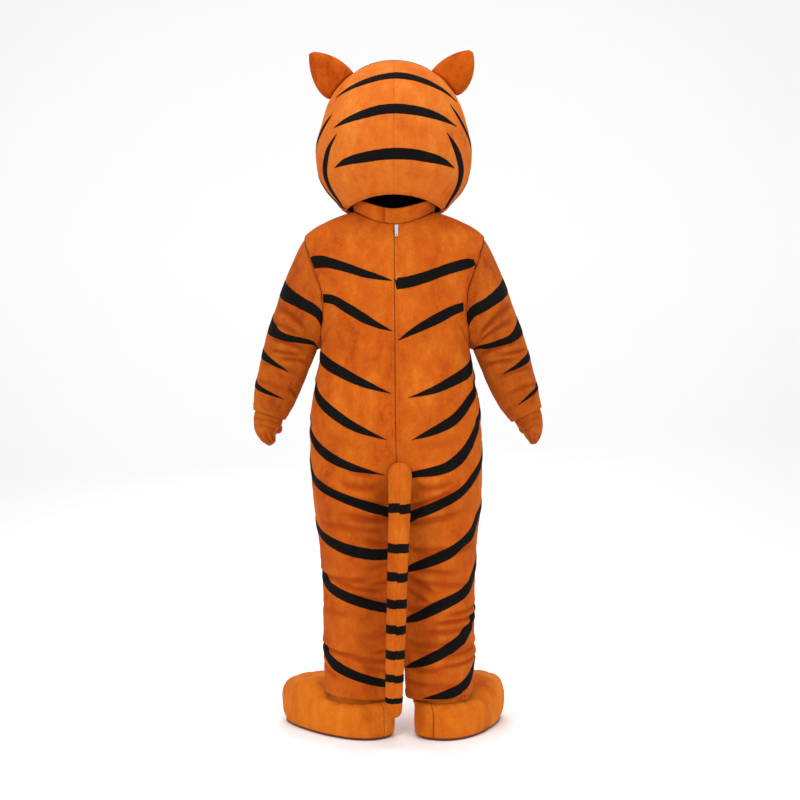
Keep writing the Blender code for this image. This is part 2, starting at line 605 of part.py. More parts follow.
def pad_points(pad, under, thickness):
    """Grid of a pad: from its middle underneath, out to its edge, and back over its top."""
    out = np.sin(np.linspace(0, math.pi / 2, pad["rings"]))
    spread = np.concatenate([out, out[::-1]])
    turn = 2 * math.pi * np.arange(PAD_SPOKES) / PAD_SPOKES
    x = pad["x"] + pad["wide"] * spread[:, None] * np.cos(turn)
    z = pad["z"] + pad["high"] * spread[:, None] * np.sin(turn)
    top = (np.arange(len(spread)) >= pad["rings"])[:, None]
    y = under(x, z) - PAD_CLEAR - top * (thickness + dome(x, z, pad))
    return np.stack([x, y, z], axis=-1)


def on_muzzle(x, z):
    return head_front_y(x, z) - PAD_CLEAR - PAD_EDGE - dome(x, z, MUZZLE)


def on_eye(x, z):
    return head_front_y(x, z) - PAD_CLEAR - PAD_EDGE - dome(x, z, EYE)


loft("muzzle", placed(pad_points(MUZZLE, head_front_y, PAD_EDGE), 1), "cream plush", wrap=True)
loft("nose", placed(pad_points(NOSE, on_muzzle, PAD_EDGE), 1), "black plush", wrap=True)
for side_name, side in (("left", 1), ("right", -1)):
    loft(f"eye_{side_name}", placed(pad_points(EYE, head_front_y, PAD_EDGE), side), "eye white",
         wrap=True, flip=side < 0)
    loft(f"pupil_{side_name}", placed(pad_points(PUPIL, on_eye, PAD_EDGE), side), "pupil black",
         wrap=True, flip=side < 0)


# ---------------------------------------------------------------- ears
def bezier(points, t):
    """A cubic Bezier curve through four x, z points."""
    a, b, c, d = (np.array(p) for p in points)
    t = t[..., None]
    return a * (1 - t) ** 3 + 3 * b * t * (1 - t) ** 2 + 3 * c * t * t * (1 - t) + d * t ** 3


def ear_surface(across, along, puff, edges):
    """An ear: ruled between its two edges, its base bowed with the head, puffed between them."""
    upper, lower = (bezier(edge, along) for edge in edges)
    flat = upper + (lower - upper) * across[..., None]
    bow = EAR_BASE_BOW * 4 * across * (1 - across) * (1 - along) ** 2
    x = flat[..., 0] + bow * 0.75
    z = flat[..., 1] + bow * 0.66
    swell = np.sqrt(np.clip(4 * across * (1 - across), 0, 1)) * (0.35 + 0.65 * np.sqrt(1 - along ** 2))
    return np.stack([x, EAR_Y + puff * swell, z], axis=-1)


along_grid, across_grid = np.meshgrid(np.linspace(0, 1, EAR_STEPS), cosine_steps(EAR_STEPS), indexing="ij")
for side_name, side in (("left", 1), ("right", -1)):
    edges = EARS[side_name]
    back = ear_surface(across_grid, along_grid, EAR_PUFF, edges) + (0.0, EAR_WALL + CLEAR, 0.0)
    front = ear_surface(across_grid, along_grid, -0.5 * EAR_PUFF, edges) - (0.0, EAR_WALL, 0.0)
    for piece, skin, outwards in (("back", back, 1), ("front", front, -1)):
        inner = skin - (0.0, outwards * EAR_WALL, 0.0)
        grid = np.concatenate([inner[:, ::-1], skin], axis=1)
        loft(f"ear_{piece}_{side_name}", placed(grid, side), "orange plush", wrap=True, caps=(0, -1),
             flip=(side > 0) == (outwards > 0))


# ---------------------------------------------------------------- foot covers
def foot_plan(turn, foot, grow=0.0):
    """The sole's outline in the room: a squared oval turned out, its heel at the given place."""
    heel_x, heel_y, turn_out, _ = foot
    forward = np.sign(np.cos(turn)) * np.abs(np.cos(turn)) ** (2 / FOOT_SQUARENESS)
    sideways = np.sign(np.sin(turn)) * np.abs(np.sin(turn)) ** (2 / FOOT_SQUARENESS)
    ahead = HEEL_TO_MIDDLE + (FOOT_HALF_LONG + grow) * forward
    aside = (FOOT_HALF_WIDE + grow) * sideways
    out = math.radians(turn_out)
    x = heel_x + ahead * math.sin(out) + aside * math.cos(out)
    y = heel_y - ahead * math.cos(out) + aside * math.sin(out)
    return x, y, ahead


def foot_surface(along, turn, foot):
    """The cover: up from the sole, over a dome that is low at the heel, and in to the ankle."""
    table = table_at(FOOT_COLUMNS, FOOT_ROWS, along)
    out_x, out_y, _ = foot_plan(turn, foot)
    out = math.radians(foot[2])
    facing = math.pi / 2 - turn - out
    ankle_x = foot[3] + ANKLE_HALF_WIDE * np.cos(facing)
    ankle_y = -ANKLE_HALF_DEEP * np.sin(facing)
    x = ankle_x + (out_x - ankle_x) * table["reach"]
    y = ankle_y + (out_y - ankle_y) * table["reach"]
    ahead = (x - foot[0]) * math.sin(out) - (y - foot[1]) * math.cos(out)
    shoulder = HEEL_SHOULDER + (INSTEP_SHOULDER - HEEL_SHOULDER) * smooth((ahead - 0.03) / 0.13)
    return np.stack([x, y, SOLE_THICK + CLEAR + (shoulder - SOLE_THICK) * table["rise"]], axis=-1)


for side_name, foot in FEET.items():
    for half, first in (("outer", 0.0), ("inner", math.pi)):
        if side_name == "right":
            first = math.pi - first
        turn = first + FOOT_EDGE + (math.pi - 2 * FOOT_EDGE) * cosine_steps(FOOT_STEPS_AROUND)
        along_grid, turn_grid = np.meshgrid(np.linspace(0, 1, FOOT_STEPS_UP), turn, indexing="ij")
        loft(f"foot_{half}_{side_name}", foot_surface(along_grid, turn_grid, foot), "orange plush",
             thickness=FOOT_WALL)
    turn = 2 * math.pi * np.arange(SOLE_POINTS) / SOLE_POINTS
    x, y, _ = foot_plan(turn, foot, grow=-SOLE_INSET)
    sole = np.stack([np.stack([x, y, np.full_like(x, z)], axis=-1) for z in (0.0, SOLE_THICK)])
    loft(f"sole_{side_name}", sole, "sole rubber", wrap=True, caps=(0, -1))


# ---------------------------------------------------------------- tail
def seat_depth(x, z):
    """The jumpsuit's back at a place on the seat, from a fine grid of its panels."""
    level, across = np.meshgrid(np.linspace(0.68, 0.82, 120), np.linspace(0, 0.6, 120), indexing="ij")
    back = placed(suit_surface(level, across, 0), 1)
    mirror = placed(suit_surface(level, across, 0), -1)
    cloud = np.concatenate([back.reshape(-1, 3), mirror.reshape(-1, 3)])
    apart = (cloud[:, 0] - x[..., None]) ** 2 + (cloud[:, 2] - z[..., None]) ** 2
    return cloud[np.argmin(apart, axis=-1), 1]


def tail_frame(along):
    """Centre, radius and the two directions square to the tail's centre line."""
    table = table_at(TAIL_COLUMNS, TAIL_ROWS, along)
    centre = np.stack([table["x"], table["y"], table["z"]], axis=-1)
    step = 0.01
    ends = [table_at(TAIL_COLUMNS, TAIL_ROWS, np.clip(along + s, 0, 1)) for s in (-step, step)]
    heading = np.stack([ends[1][k] - ends[0][k] for k in ("x", "y", "z")], axis=-1)
    heading[along == 0] = (0.0, 1.0, 0.0)
    heading /= np.linalg.norm(heading, axis=-1, keepdims=True)
    across = np.cross(heading, (1.0, 0.0, 0.0))
    across /= np.linalg.norm(across, axis=-1, keepdims=True)
    return centre, table["radius"], np.cross(across, heading), across


def tail_surface(along, turn, swell=0.0):
    """A round tube along the tail's centre line."""
    centre, radius, first_axis, second_axis = tail_frame(along)
    radius = (radius + swell)[..., None]
    return (centre[:, None] + (radius * np.cos(turn))[..., None] * first_axis[:, None]
            + (radius * np.sin(turn))[..., None] * second_axis[:, None])


tail_turn = 2 * math.pi * np.arange(TAIL_SPOKES) / TAIL_SPOKES
tail_along = np.concatenate([[0.0, 0.025, 0.05, 0.075], np.linspace(0.1, 1.0, 11)])
tail = tail_surface(tail_along, tail_turn)
tail[0, :, 1] = seat_depth(tail[0, :, 0], tail[0, :, 2]) + TAIL_GAP
tip_centre = tail[-1].mean(axis=0)
tip = [tip_centre + (tail[-1] - tip_centre) * math.cos(a) + (0, 0, -TAIL_TIP * math.sin(a))
       for a in np.linspace(0.3, 1.45, 4)]
loft("tail", np.concatenate([tail, np.stack(tip)]), "orange plush", wrap=True, caps=(0, -1))


# the dark bands are short tubes sewn round the tail
tail_heights = [row[3] for row in TAIL_ROWS[2:]][::-1]
tail_places = [row[0] for row in TAIL_ROWS[2:]][::-1]
for number, height in enumerate(TAIL_BANDS, start=1):
    ends = np.interp((height + BAND_HALF, height - BAND_HALF), tail_heights, tail_places)
    outer = tail_surface(ends, tail_turn, BAND_CLEAR + BAND_WALL)
    inner = tail_surface(ends, tail_turn, BAND_CLEAR)
    band = np.stack([inner[0], outer[0], outer[1], inner[1], inner[0]])
    loft(f"tail_band_{number}", band, "black plush", wrap=True)


# ---------------------------------------------------------------- zip slider and pull tab
def box_mesh(size, centre):
    """A box as a bmesh."""
    work = bmesh.new()
    bmesh.ops.create_cube(work, size=1.0)
    bmesh.ops.scale(work, vec=size, verts=work.verts)
    bmesh.ops.translate(work, vec=centre, verts=work.verts)
    return work


def rod_mesh(radius, length, centre, axis, sides=16):
    """A capped cylinder along X or Y."""
    work = bmesh.new()
    bmesh.ops.create_cone(work, cap_ends=True, segments=sides, radius1=radius, radius2=radius, depth=length)
    about = {"X": "Y", "Y": "X"}[axis]
    matrix = mathutils.Matrix.Rotation(math.pi / 2, 3, about)
    bmesh.ops.rotate(work, cent=(0, 0, 0), matrix=matrix, verts=work.verts)
    bmesh.ops.translate(work, vec=centre, verts=work.verts)
    return work


def solid(name, work, parent, finish, collection):
    """An object from a bmesh, under a parent."""
    mesh = bpy.data.meshes.new(name)
    work.to_mesh(mesh)
    work.free()
    thing = bpy.data.objects.new(name, mesh)
    thing.data.materials.append(finish_of(finish))
    thing.parent = parent
    collection.objects.link(thing)
    if collection is CUTTERS:
        thing.hide_render = True
        thing.display_type = "WIRE"
    return thing


def combine(thing, other, operation):
    """A Boolean modifier that joins or cuts with a helper."""
    step = thing.modifiers.new(f"{operation} {other.name}".lower(), "BOOLEAN")
    step.operation = operation
    step.object = other


zip_line = suit_surface(np.array([SLIDER_LEVEL, SLIDER_LEVEL - 0.012]), np.zeros(2), 0)
slope = math.atan2(zip_line[1, 1] - zip_line[0, 1], zip_line[0, 2] - zip_line[1, 2])
slider_frame = bpy.data.objects.new("slider_frame", None)
slider_frame.location = placed(zip_line[:1], 1)[0] * (0, 1, 1) + (SLIDER_X, SLIDER_OFF_CLOTH, 0)
slider_frame.rotation_euler = (slope, 0, 0)
slider_frame.parent = STAND
COSTUME.objects.link(slider_frame)

# In the slider's frame: X across, Y away from the cloth, Z up along the zip.
pin_height = SLIDER_THICK + PIN_ABOVE
slider = solid("zip_slider", box_mesh((SLIDER_WIDE, SLIDER_THICK, SLIDER_LONG),
                                      (0, SLIDER_THICK / 2, 0)), slider_frame, "zip metal", COSTUME)
for side in (-1, 1):
    lug = solid(f"lug_{side}", box_mesh((LUG_THICK, PIN_ABOVE + 3 * JOIN, LUG_LONG),
                                        (side * LUG_PLACE, SLIDER_THICK + PIN_ABOVE / 2, 0)),
                slider_frame, "zip metal", CUTTERS)
    combine(slider, lug, "UNION")
pin = solid("pin", rod_mesh(PIN_RADIUS, 2 * LUG_PLACE, (0, pin_height, 0), "X"),
            slider_frame, "zip metal", CUTTERS)
combine(slider, pin, "UNION")

# The pull tab hangs from an empty on its hinge line.
hinge = bpy.data.objects.new("pull_hinge", None)
hinge.location = (0, pin_height, 0)
hinge.rotation_euler = (-math.radians(TAB_REST_TILT), 0, 0)
hinge.parent = slider_frame
COSTUME.objects.link(hinge)
pull = solid("zip_pull", rod_mesh(EYE_RADIUS, EYE_WIDE, (0, 0, 0), "X", sides=20), hinge,
             "zip metal", COSTUME)
blade_shape = box_mesh((TAB_WIDE, TAB_THICK, TAB_LONG - BLADE_TOP),
                       (0, 0, -(TAB_LONG + BLADE_TOP) / 2))
blade = solid("blade", blade_shape, hinge, "zip metal", CUTTERS)
neck_long = BLADE_TOP + JOIN
neck = solid("tab_neck", box_mesh((EYE_WIDE, TAB_THICK, neck_long), (0, 0, -neck_long / 2)), hinge,
             "zip metal", CUTTERS)
bore = solid("bore", rod_mesh(EYE_BORE, 4 * EYE_WIDE, (0, 0, 0), "X"), hinge, "zip metal", CUTTERS)
hole = solid("hole", rod_mesh(TAB_HOLE, 4 * TAB_THICK, (0, 0, HOLE_ABOVE_END - TAB_LONG), "Y"), hinge,
             "zip metal", CUTTERS)
combine(pull, neck, "UNION")
combine(pull, blade, "UNION")
combine(pull, bore, "DIFFERENCE")
combine(pull, hole, "DIFFERENCE")
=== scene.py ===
# %% [markdown]
# # A tiger mascot costume
# This lesson builds a worn mascot costume, seen from behind: a round plush head with two ears, a
# jumpsuit with a zip up its back, mitts, big soft feet and a ringed tail. Nobody is inside, so every
# piece is a thin wall of cloth that keeps the shape of its wearer.
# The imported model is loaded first. It is the fixed frame: each piece below stands for one of its
# parts and must stay in the same place.

# %% Load the frame
import math

import bmesh
import bpy
import numpy as np
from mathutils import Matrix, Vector


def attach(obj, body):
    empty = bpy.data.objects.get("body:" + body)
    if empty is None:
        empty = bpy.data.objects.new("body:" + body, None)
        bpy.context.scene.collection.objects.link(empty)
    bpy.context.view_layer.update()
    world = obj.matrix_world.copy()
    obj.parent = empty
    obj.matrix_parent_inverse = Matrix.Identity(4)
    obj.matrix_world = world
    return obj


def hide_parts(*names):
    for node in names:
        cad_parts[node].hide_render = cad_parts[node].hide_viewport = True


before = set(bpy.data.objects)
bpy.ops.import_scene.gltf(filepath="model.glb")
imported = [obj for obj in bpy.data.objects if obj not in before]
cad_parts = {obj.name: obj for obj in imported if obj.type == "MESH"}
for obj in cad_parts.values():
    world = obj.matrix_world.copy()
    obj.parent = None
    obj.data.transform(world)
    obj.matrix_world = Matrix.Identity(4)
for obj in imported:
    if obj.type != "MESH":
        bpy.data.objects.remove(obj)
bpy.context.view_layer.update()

# %% [markdown]
# ## Curves through short tables
# A pattern maker writes a few sizes at a few places and draws a fair curve between them. The same
# is done here: each table below has one row a cross-section, and `eased` joins the rows without
# swinging past them. Ready-made splines could do it too, but they overshoot where rows are close.

# %% Curves and places
NECK_HEIGHT = 1.470     # heights in the tables count from the floor; the origin is the neck's base
LEAN = ((0.00, -0.010), (0.45, -0.008), (0.62, -0.0045), (0.90, 0.001), (1.30, 0.004), (1.60, 0.006),
        (2.00, 0.006))
SIDES = (("left", 1), ("right", -1))


def eased(knots, values, at):
    """Cubic between neighbours: low (1+2t)(1-t)^2 + high t^2(3-2t) + slopes t(1-t)^2, -t^2(1-t)."""
    knots, values, at = (np.asarray(a, dtype=float) for a in (knots, values, at))
    run = np.diff(knots)
    slope = np.diff(values) / run
    bend = np.zeros_like(values)
    bend[0], bend[-1] = slope[0], slope[-1]
    same_way = slope[:-1] * slope[1:] > 0
    before, after = slope[:-1][same_way], slope[1:][same_way]
    bend[1:-1][same_way] = 2 * before * after / (before + after)
    spot = np.clip(np.searchsorted(knots, at, side="right") - 1, 0, len(run) - 1)
    t = np.clip((at - knots[spot]) / run[spot], 0, 1)
    low, high, width = values[spot], values[spot + 1], run[spot]
    return (low * (1 + 2 * t) * (1 - t) ** 2 + high * t * t * (3 - 2 * t)
            + width * (bend[spot] * t * (1 - t) ** 2 - bend[spot + 1] * t * t * (1 - t)))


def table_at(columns, rows, at):
    """Every column of a table, eased at the given values of its first column."""
    rows = sorted(rows)
    knots = [row[0] for row in rows]
    return {name: eased(knots, [row[i] for row in rows], at) for i, name in enumerate(columns)}


def hermite(start, start_pull, end, end_pull, t):
    """The cubic that leaves start along start_pull and reaches end along end_pull."""
    return (start * (1 + 2 * t) * (1 - t) ** 2 + end * t * t * (3 - 2 * t)
            + start_pull * t * (1 - t) ** 2 - end_pull * t * t * (1 - t))


def smooth(t):
    """3t^2 - 2t^3: from 0 to 1 with level ends."""
    t = np.clip(t, 0, 1)
    return t * t * (3 - 2 * t)


def cosine_steps(count):
    """count + 1 values from 0 to 1, closer together at both ends."""
    return (1 - np.cos(np.linspace(0, math.pi, count + 1))) / 2


def bell(distance, width):
    """exp(-(distance/width)^2): 1 in the middle, fading to nothing."""
    return np.exp(-(distance / width) ** 2)


def placed(points, side):
    """A left-hand shape on its own side, leaning with the figure, counted from the neck's base."""
    out = np.array(points, dtype=float)
    heights, lean = zip(*LEAN)
    out[..., 0] = side * out[..., 0] + np.interp(out[..., 2], heights, lean)
    out[..., 2] -= NECK_HEIGHT
    return out


def settled(points):
    """A shape given in the room already, counted from the neck's base: it does not lean."""
    return np.asarray(points, dtype=float) - (0.0, 0.0, NECK_HEIGHT)


def lumps(x, y, seed):
    """A sum of five crossed sine waves, from -1 to 1: soft unevenness that never repeats nearby."""
    total = np.zeros(np.broadcast(x, y).shape)
    for wave in range(5):
        turn = 2.4 * wave + seed
        long = 1.0 + 0.53 * wave
        total += np.sin(long * (x * math.cos(turn) + y * math.sin(turn)) + 1.7 * wave * seed) / 5
    return total


print("neck base", NECK_HEIGHT, "m above the floor")

# %% [markdown]
# ## From a grid of points to a piece of cloth
# Every surface here is a function of two numbers, worked out for a whole grid at once. The grid's
# points become a mesh with a face between each four neighbours. `raised` moves such a surface out
# along its own normal, which is how folds, seams and the pile of a stripe are laid on it. The wall
# comes from a Solidify modifier that grows inwards, so that the outer face keeps its measured place.
# A face's winding says which side is out: for an open shell the code tests whether its faces look
# away from the shell's middle, and for a closed form Blender's own recalculation does it.

# %% Grids, raised surfaces and pieces
def raised(surface, u, v, height, out=1.0):
    """surface(u, v) + height * n, where n is the unit cross product of its two slopes."""
    step = 0.0015
    along_u = surface(u + step, v) - surface(u - step, v)
    along_v = surface(u, v + step) - surface(u, v - step)
    normal = out * np.cross(along_u, along_v)
    length = np.linalg.norm(normal, axis=-1, keepdims=True)
    normal = np.where(length > 1e-12, normal / np.maximum(length, 1e-12), (0.0, 0.0, 1.0))
    return surface(u, v) + np.asarray(height)[..., None] * normal


def grid_quads(rows, columns, wrap, first):
    """Corner numbers of a grid's faces; wrap joins the last column to the first."""
    i, j = np.meshgrid(np.arange(rows - 1), np.arange(columns if wrap else columns - 1), indexing="ij")
    k = (j + 1) % columns
    corners = [i * columns + j, i * columns + k, (i + 1) * columns + k, (i + 1) * columns + j]
    return (np.stack(corners, axis=-1).reshape(-1, 4) + first).tolist()


def faces_out(work):
    """True if the faces, weighed by area, look away from the middle of the shell."""
    places = np.array([face.calc_center_median()[:] for face in work.faces])
    normals = np.array([face.normal[:] for face in work.faces])
    areas = np.array([face.calc_area() for face in work.faces])
    middle = (places * areas[:, None]).sum(axis=0) / areas.sum()
    return float((((places - middle) * normals).sum(axis=1) * areas).sum()) > 0


made = {}


def piece(name, grids, finish, node=None, wrap=False, closed=False, wall=0.0, inside=None,
          shade=None):
    """A piece from one or more grids of points; node is the part of the frame it stands for."""
    points, faces, first = [], [], 0
    for grid in grids:
        rows, columns = grid.shape[:2]
        faces += grid_quads(rows, columns, wrap, first)
        if closed:
            faces.append(list(range(first, first + columns))[::-1])
            faces.append(list(range(first + (rows - 1) * columns, first + rows * columns)))
        points.append(grid.reshape(-1, 3))
        first += rows * columns
    mesh = bpy.data.meshes.new(name)
    mesh.from_pydata(np.concatenate(points).tolist(), [], faces)
    if shade is not None:
        mesh.attributes.new("shade", "FLOAT", "POINT").data.foreach_set("value", shade.ravel())
    work = bmesh.new()
    work.from_mesh(mesh)
    bmesh.ops.remove_doubles(work, verts=work.verts[:], dist=1e-6)
    bmesh.ops.dissolve_degenerate(work, edges=work.edges[:], dist=1e-6)
    if closed:
        bmesh.ops.recalc_face_normals(work, faces=work.faces[:])
    else:
        work.normal_update()
        if not faces_out(work):
            bmesh.ops.reverse_faces(work, faces=work.faces[:])
    work.to_mesh(mesh)
    work.free()
    mesh.shade_smooth()
    thing = bpy.data.objects.new(name, mesh)
    bpy.context.scene.collection.objects.link(thing)
    mesh.materials.append(finish)
    if wall:
        mesh.materials.append(inside or finish)
        cloth = thing.modifiers.new("cloth", "SOLIDIFY")
        cloth.thickness = wall
        cloth.offset = -1.0
        cloth.material_offset = 1
    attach(thing, "suit")
    if node:
        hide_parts(node)
    made[name] = thing
    return thing


def grid_area(grid):
    """Half the sum of the cross products of each face's diagonals: the cloth's area in square metres."""
    across = grid[1:, 1:] - grid[:-1, :-1]
    other = grid[1:, :-1] - grid[:-1, 1:]
    return 0.5 * float(np.linalg.norm(np.cross(across, other), axis=-1).sum())


# %% [markdown]
# ## Shader sums in plain Python
# A material is a small calculation, so it is easier to read as one. `Flow` wraps one output of a
# node and gives it `+ - * /`; `Recipe.node` adds any other node. What changes over a surface goes
# only to colour, roughness and bump; sheen and coat are the same all over and are set directly.

# %% Flow and Recipe
class Flow:
    """One output of a node, with sums that make Math nodes."""

    def __init__(self, recipe, socket):
        self.recipe = recipe
        self.socket = socket

    def sum(self, operation, a, b):
        return self.recipe.node("ShaderNodeMath", {"operation": operation}, {0: a, 1: b})

    def __add__(self, other):
        return self.sum("ADD", self, other)

    def __sub__(self, other):
        return self.sum("SUBTRACT", self, other)

    def __rsub__(self, other):
        return self.sum("SUBTRACT", other, self)

    def __mul__(self, other):
        return self.sum("MULTIPLY", self, other)

    def __truediv__(self, other):
        return self.sum("DIVIDE", self, other)

    __radd__ = __add__
    __rmul__ = __mul__


class Recipe:
    """A Principled material and the nodes that feed it."""

    def __init__(self, name, **constants):
        self.material = bpy.data.materials.new(name)
        self.material.use_nodes = True
        self.tree = self.material.node_tree
        self.shader = self.tree.nodes["Principled BSDF"]
        for socket, value in constants.items():
            self.shader.inputs[socket.replace("_", " ")].default_value = value

    def node(self, kind, settings=None, sockets=None, out=0):
        """Any node: its settings first, then its sockets' values or links."""
        made_node = self.tree.nodes.new(kind)
        for key, value in (settings or {}).items():
            setattr(made_node, key, value)
        for key, value in (sockets or {}).items():
            if isinstance(value, Flow):
                self.tree.links.new(value.socket, made_node.inputs[key])
            else:
                made_node.inputs[key].default_value = value
        return Flow(self, made_node.outputs[out])

    def place(self, scale=(1, 1, 1)):
        """Object coordinates, in metres, stretched by scale."""
        where = self.node("ShaderNodeTexCoord", out="Object")
        return self.node("ShaderNodeMapping", {}, {"Vector": where, "Scale": scale})

    def noise(self, where, scale, detail=2.0, rough=0.5):
        """Cloudy noise from 0 to 1; scale is how many clouds there are in a metre."""
        return self.node("ShaderNodeTexNoise", {}, {"Vector": where, "Scale": scale, "Detail": detail,
                                                    "Roughness": rough})

    def between(self, value, low, high):
        """0 below low, 1 above high, straight between them."""
        return self.node("ShaderNodeMapRange", {}, {"Value": value, "From Min": low, "From Max": high})

    def blend(self, share, first, second):
        """A colour between two: share 0 gives the first, 1 the second."""
        return self.node("ShaderNodeMix", {"data_type": "RGBA"},
                         {"Factor": share, 6: first, 7: second}, out=2)

    def bump(self, height, distance, strength=1.0):
        """Feeds Normal from a height."""
        bumped = self.node("ShaderNodeBump", {}, {"Height": height, "Distance": distance,
                                                  "Strength": strength})
        self.tree.links.new(bumped.socket, self.shader.inputs["Normal"])

    def feed(self, socket, flow):
        """Links a flow to one of the shader's own sockets."""
        self.tree.links.new(flow.socket, self.shader.inputs[socket])


def colour(red, green, blue):
    """An sRGB colour from 0 to 255 as linear light."""
    share = np.array([red, green, blue]) / 255.0
    linear = np.where(share <= 0.04045, share / 12.92, ((share + 0.055) / 1.055) ** 2.4)
    return (*(float(c) for c in linear), 1.0)


# %% [markdown]
# ## The finishes
# The costume is short-pile plush. Its pile leans one way or another, so patches of it look lighter
# or more red: that is slow noise, stretched down the body, between three oranges. Single tufts are
# fine noise in colour and bump, and a soft sheen stands for light caught in the pile. Troughs
# between folds carry a `shade` mark from the mesh and turn deeper.

# %% Plush, foam rubber, gloss and metal
def plush(name, light, middle, deep, tuft=0.0011, sheen=0.2, contrast=1.0):
    """Short pile: slow clouds choose between three colours, fine noise makes the tufts."""
    recipe = Recipe(name, Roughness=0.92, Sheen_Weight=sheen, Sheen_Roughness=0.45,
                    Sheen_Tint=light, Specular_IOR_Level=0.12)
    down = recipe.place((1.0, 1.0, 0.55))
    still = recipe.place()
    clouds = recipe.noise(down, 11.0, 4.0, 0.62)
    brushed = recipe.noise(down, 38.0, 3.0, 0.6)
    tufts = recipe.noise(still, 520.0, 3.0, 0.7)
    clumps = recipe.noise(still, 150.0, 2.0, 0.6)
    shade = recipe.node("ShaderNodeAttribute", {"attribute_name": "shade"}, out="Fac")
    mood = clouds * 0.55 + brushed * 0.30 + clumps * 0.15
    toward_deep = recipe.between(mood, 0.51, 0.65) * contrast
    toward_light = recipe.between(mood, 0.49, 0.36) * contrast
    body = recipe.blend(toward_light, middle, light)
    body = recipe.blend(toward_deep, body, deep)
    body = recipe.blend(recipe.between(tufts, 0.62, 0.30) * 0.28, body, deep)
    # painted shade: where the mesh's `shade` mark is high (fold troughs, seams, the lower legs) the deep
    # colour comes in
    body = recipe.blend(shade * 0.75, body, deep)
    recipe.feed("Base Color", body)
    recipe.feed("Roughness", 0.86 + 0.12 * tufts)
    recipe.bump(tufts * 0.6 + clumps * 0.8, tuft, 0.9)
    return recipe.material


# the same finish in six near shades, lit and shaded copies: painted light makes the head, feet and tail
# lighter and painted shade makes the arms and the ears' backs darker, so each comes out right in this light
ORANGE = plush("orange plush", colour(204, 108, 26), colour(186, 86, 13), colour(156, 58, 5))
SHADED_ARM_ORANGE = plush("orange plush, arms, painted shade", colour(192, 102, 26), colour(172, 80, 13), colour(136, 50, 4))
LIT_HEAD_ORANGE = plush("orange plush, head, painted light", colour(214, 124, 46), colour(200, 102, 29), colour(178, 74, 14))
LIT_FOOT_ORANGE = plush("orange plush, feet, painted light", colour(218, 128, 34), colour(206, 108, 19), colour(182, 80, 9))
LIT_TAIL_ORANGE = plush("orange plush, tail, painted light", colour(204, 110, 24), colour(190, 93, 14), colour(168, 70, 7))
SHADED_EAR_ORANGE = plush("orange plush, ears, painted shade", colour(198, 96, 10), colour(180, 78, 4), colour(138, 48, 1))
BLACK = plush("black plush", colour(20, 14, 11), colour(12, 8, 6), colour(5, 3, 2), sheen=0.03)
CREAM = plush("cream plush", colour(244, 226, 190), colour(232, 208, 166), colour(196, 160, 112))


def plain(name, shade_of, roughness, grain, depth, speckle=0.3, **constants):
    """A plainer finish: fine noise varies its colour a little and gives it a grain."""
    recipe = Recipe(name, Roughness=roughness, **constants)
    fine = recipe.noise(recipe.place(), grain, 3.0, 0.6)
    darker = tuple(0.6 * c for c in shade_of[:3]) + (1.0,)
    recipe.feed("Base Color", recipe.blend(recipe.between(fine, 0.4, 0.75) * speckle, shade_of, darker))
    recipe.feed("Roughness", roughness + 0.08 * (fine - 0.5))
    recipe.bump(fine, depth)
    return recipe.material


LINING = plain("dark lining", colour(44, 24, 14), 0.95, 700.0, 0.0006)
TAPE = plain("zip tape", colour(150, 66, 12), 0.95, 700.0, 0.0004)
RUBBER = plain("sole rubber", colour(96, 50, 20), 0.75, 260.0, 0.0006)
EYE_WHITE = plain("eye white", colour(238, 236, 228), 0.22, 60.0, 0.0001, 0.1, Coat_Weight=0.4)
PUPIL_GLOSS = plain("pupil black", colour(14, 13, 14), 0.12, 60.0, 0.0001, 0.1, Coat_Weight=0.6)
METAL = plain("zip metal", colour(222, 222, 226), 0.28, 900.0, 0.00004, 0.25, Metallic=0.9)
TEETH = plain("zip teeth", colour(128, 56, 12), 0.7, 900.0, 0.00005, 0.3)
print("finishes", len(bpy.data.materials))

# %% [markdown]
# ## Folds
# A fold in cloth is a trough with a soft ridge beside it. Simulated cloth would give folds too, but
# not these ones, so each main fold is placed one by one, on the cloth laid flat: `across` is metres
# along the cloth and `up` its height. A row gives both ends of one fold, how far its middle sags
# below the straight line, its depth and its half width. A share of the depth is kept as `shade`.

# %% How a fold lies in the cloth
FOLD_COLUMNS = ("across_a", "up_a", "across_b", "up_b", "sag", "depth", "width")
FOLD_FADE = 0.3         # share of a fold's length that each end takes to fade
RIDGE_SHARE = 0.75
RIDGE_AWAY = 1.9
RIDGE_SPREAD = 1.25
FOLD_GAIN = 1.3         # all folds together, deeper or shallower


def fold_relief(across, up, folds):
    """Sum over folds of ridge - trough, both bells of the distance from a sagging line."""
    height = np.zeros(np.broadcast(across, up).shape)
    shade = np.zeros_like(height)
    for row in folds:
        fold = dict(zip(FOLD_COLUMNS, row))
        run_x, run_y = fold["across_b"] - fold["across_a"], fold["up_b"] - fold["up_a"]
        length = math.hypot(run_x, run_y)
        off_x, off_y = across - fold["across_a"], up - fold["up_a"]
        t = (off_x * run_x + off_y * run_y) / length ** 2
        away = (off_y * run_x - off_x * run_y) / length + fold["sag"] * 4 * t * (1 - t)
        fade = smooth(t / FOLD_FADE) * smooth((1 - t) / FOLD_FADE)
        trough = bell(away, fold["width"])
        ridge = bell(away - RIDGE_AWAY * fold["width"], RIDGE_SPREAD * fold["width"])
        low_ridge = bell(away + RIDGE_AWAY * fold["width"], RIDGE_SPREAD * fold["width"])
        height += FOLD_GAIN * fold["depth"] * fade * (RIDGE_SHARE * ridge + 0.35 * low_ridge - trough)
        shade += 1.15 * fade * trough * min(1.0, fold["depth"] / 0.0045)
    return height, np.clip(shade, 0, 1)


# %% [markdown]
# ## The jumpsuit's body
# Four panels are cut and sewn: left and right, back and front, each from the ankle to the neck.
# One function gives them all. `round_` runs from 0 at the centre back over 1 at the side seam to 2
# at the centre front, and `level` is the height. Below the crotch the same numbers go round a leg.

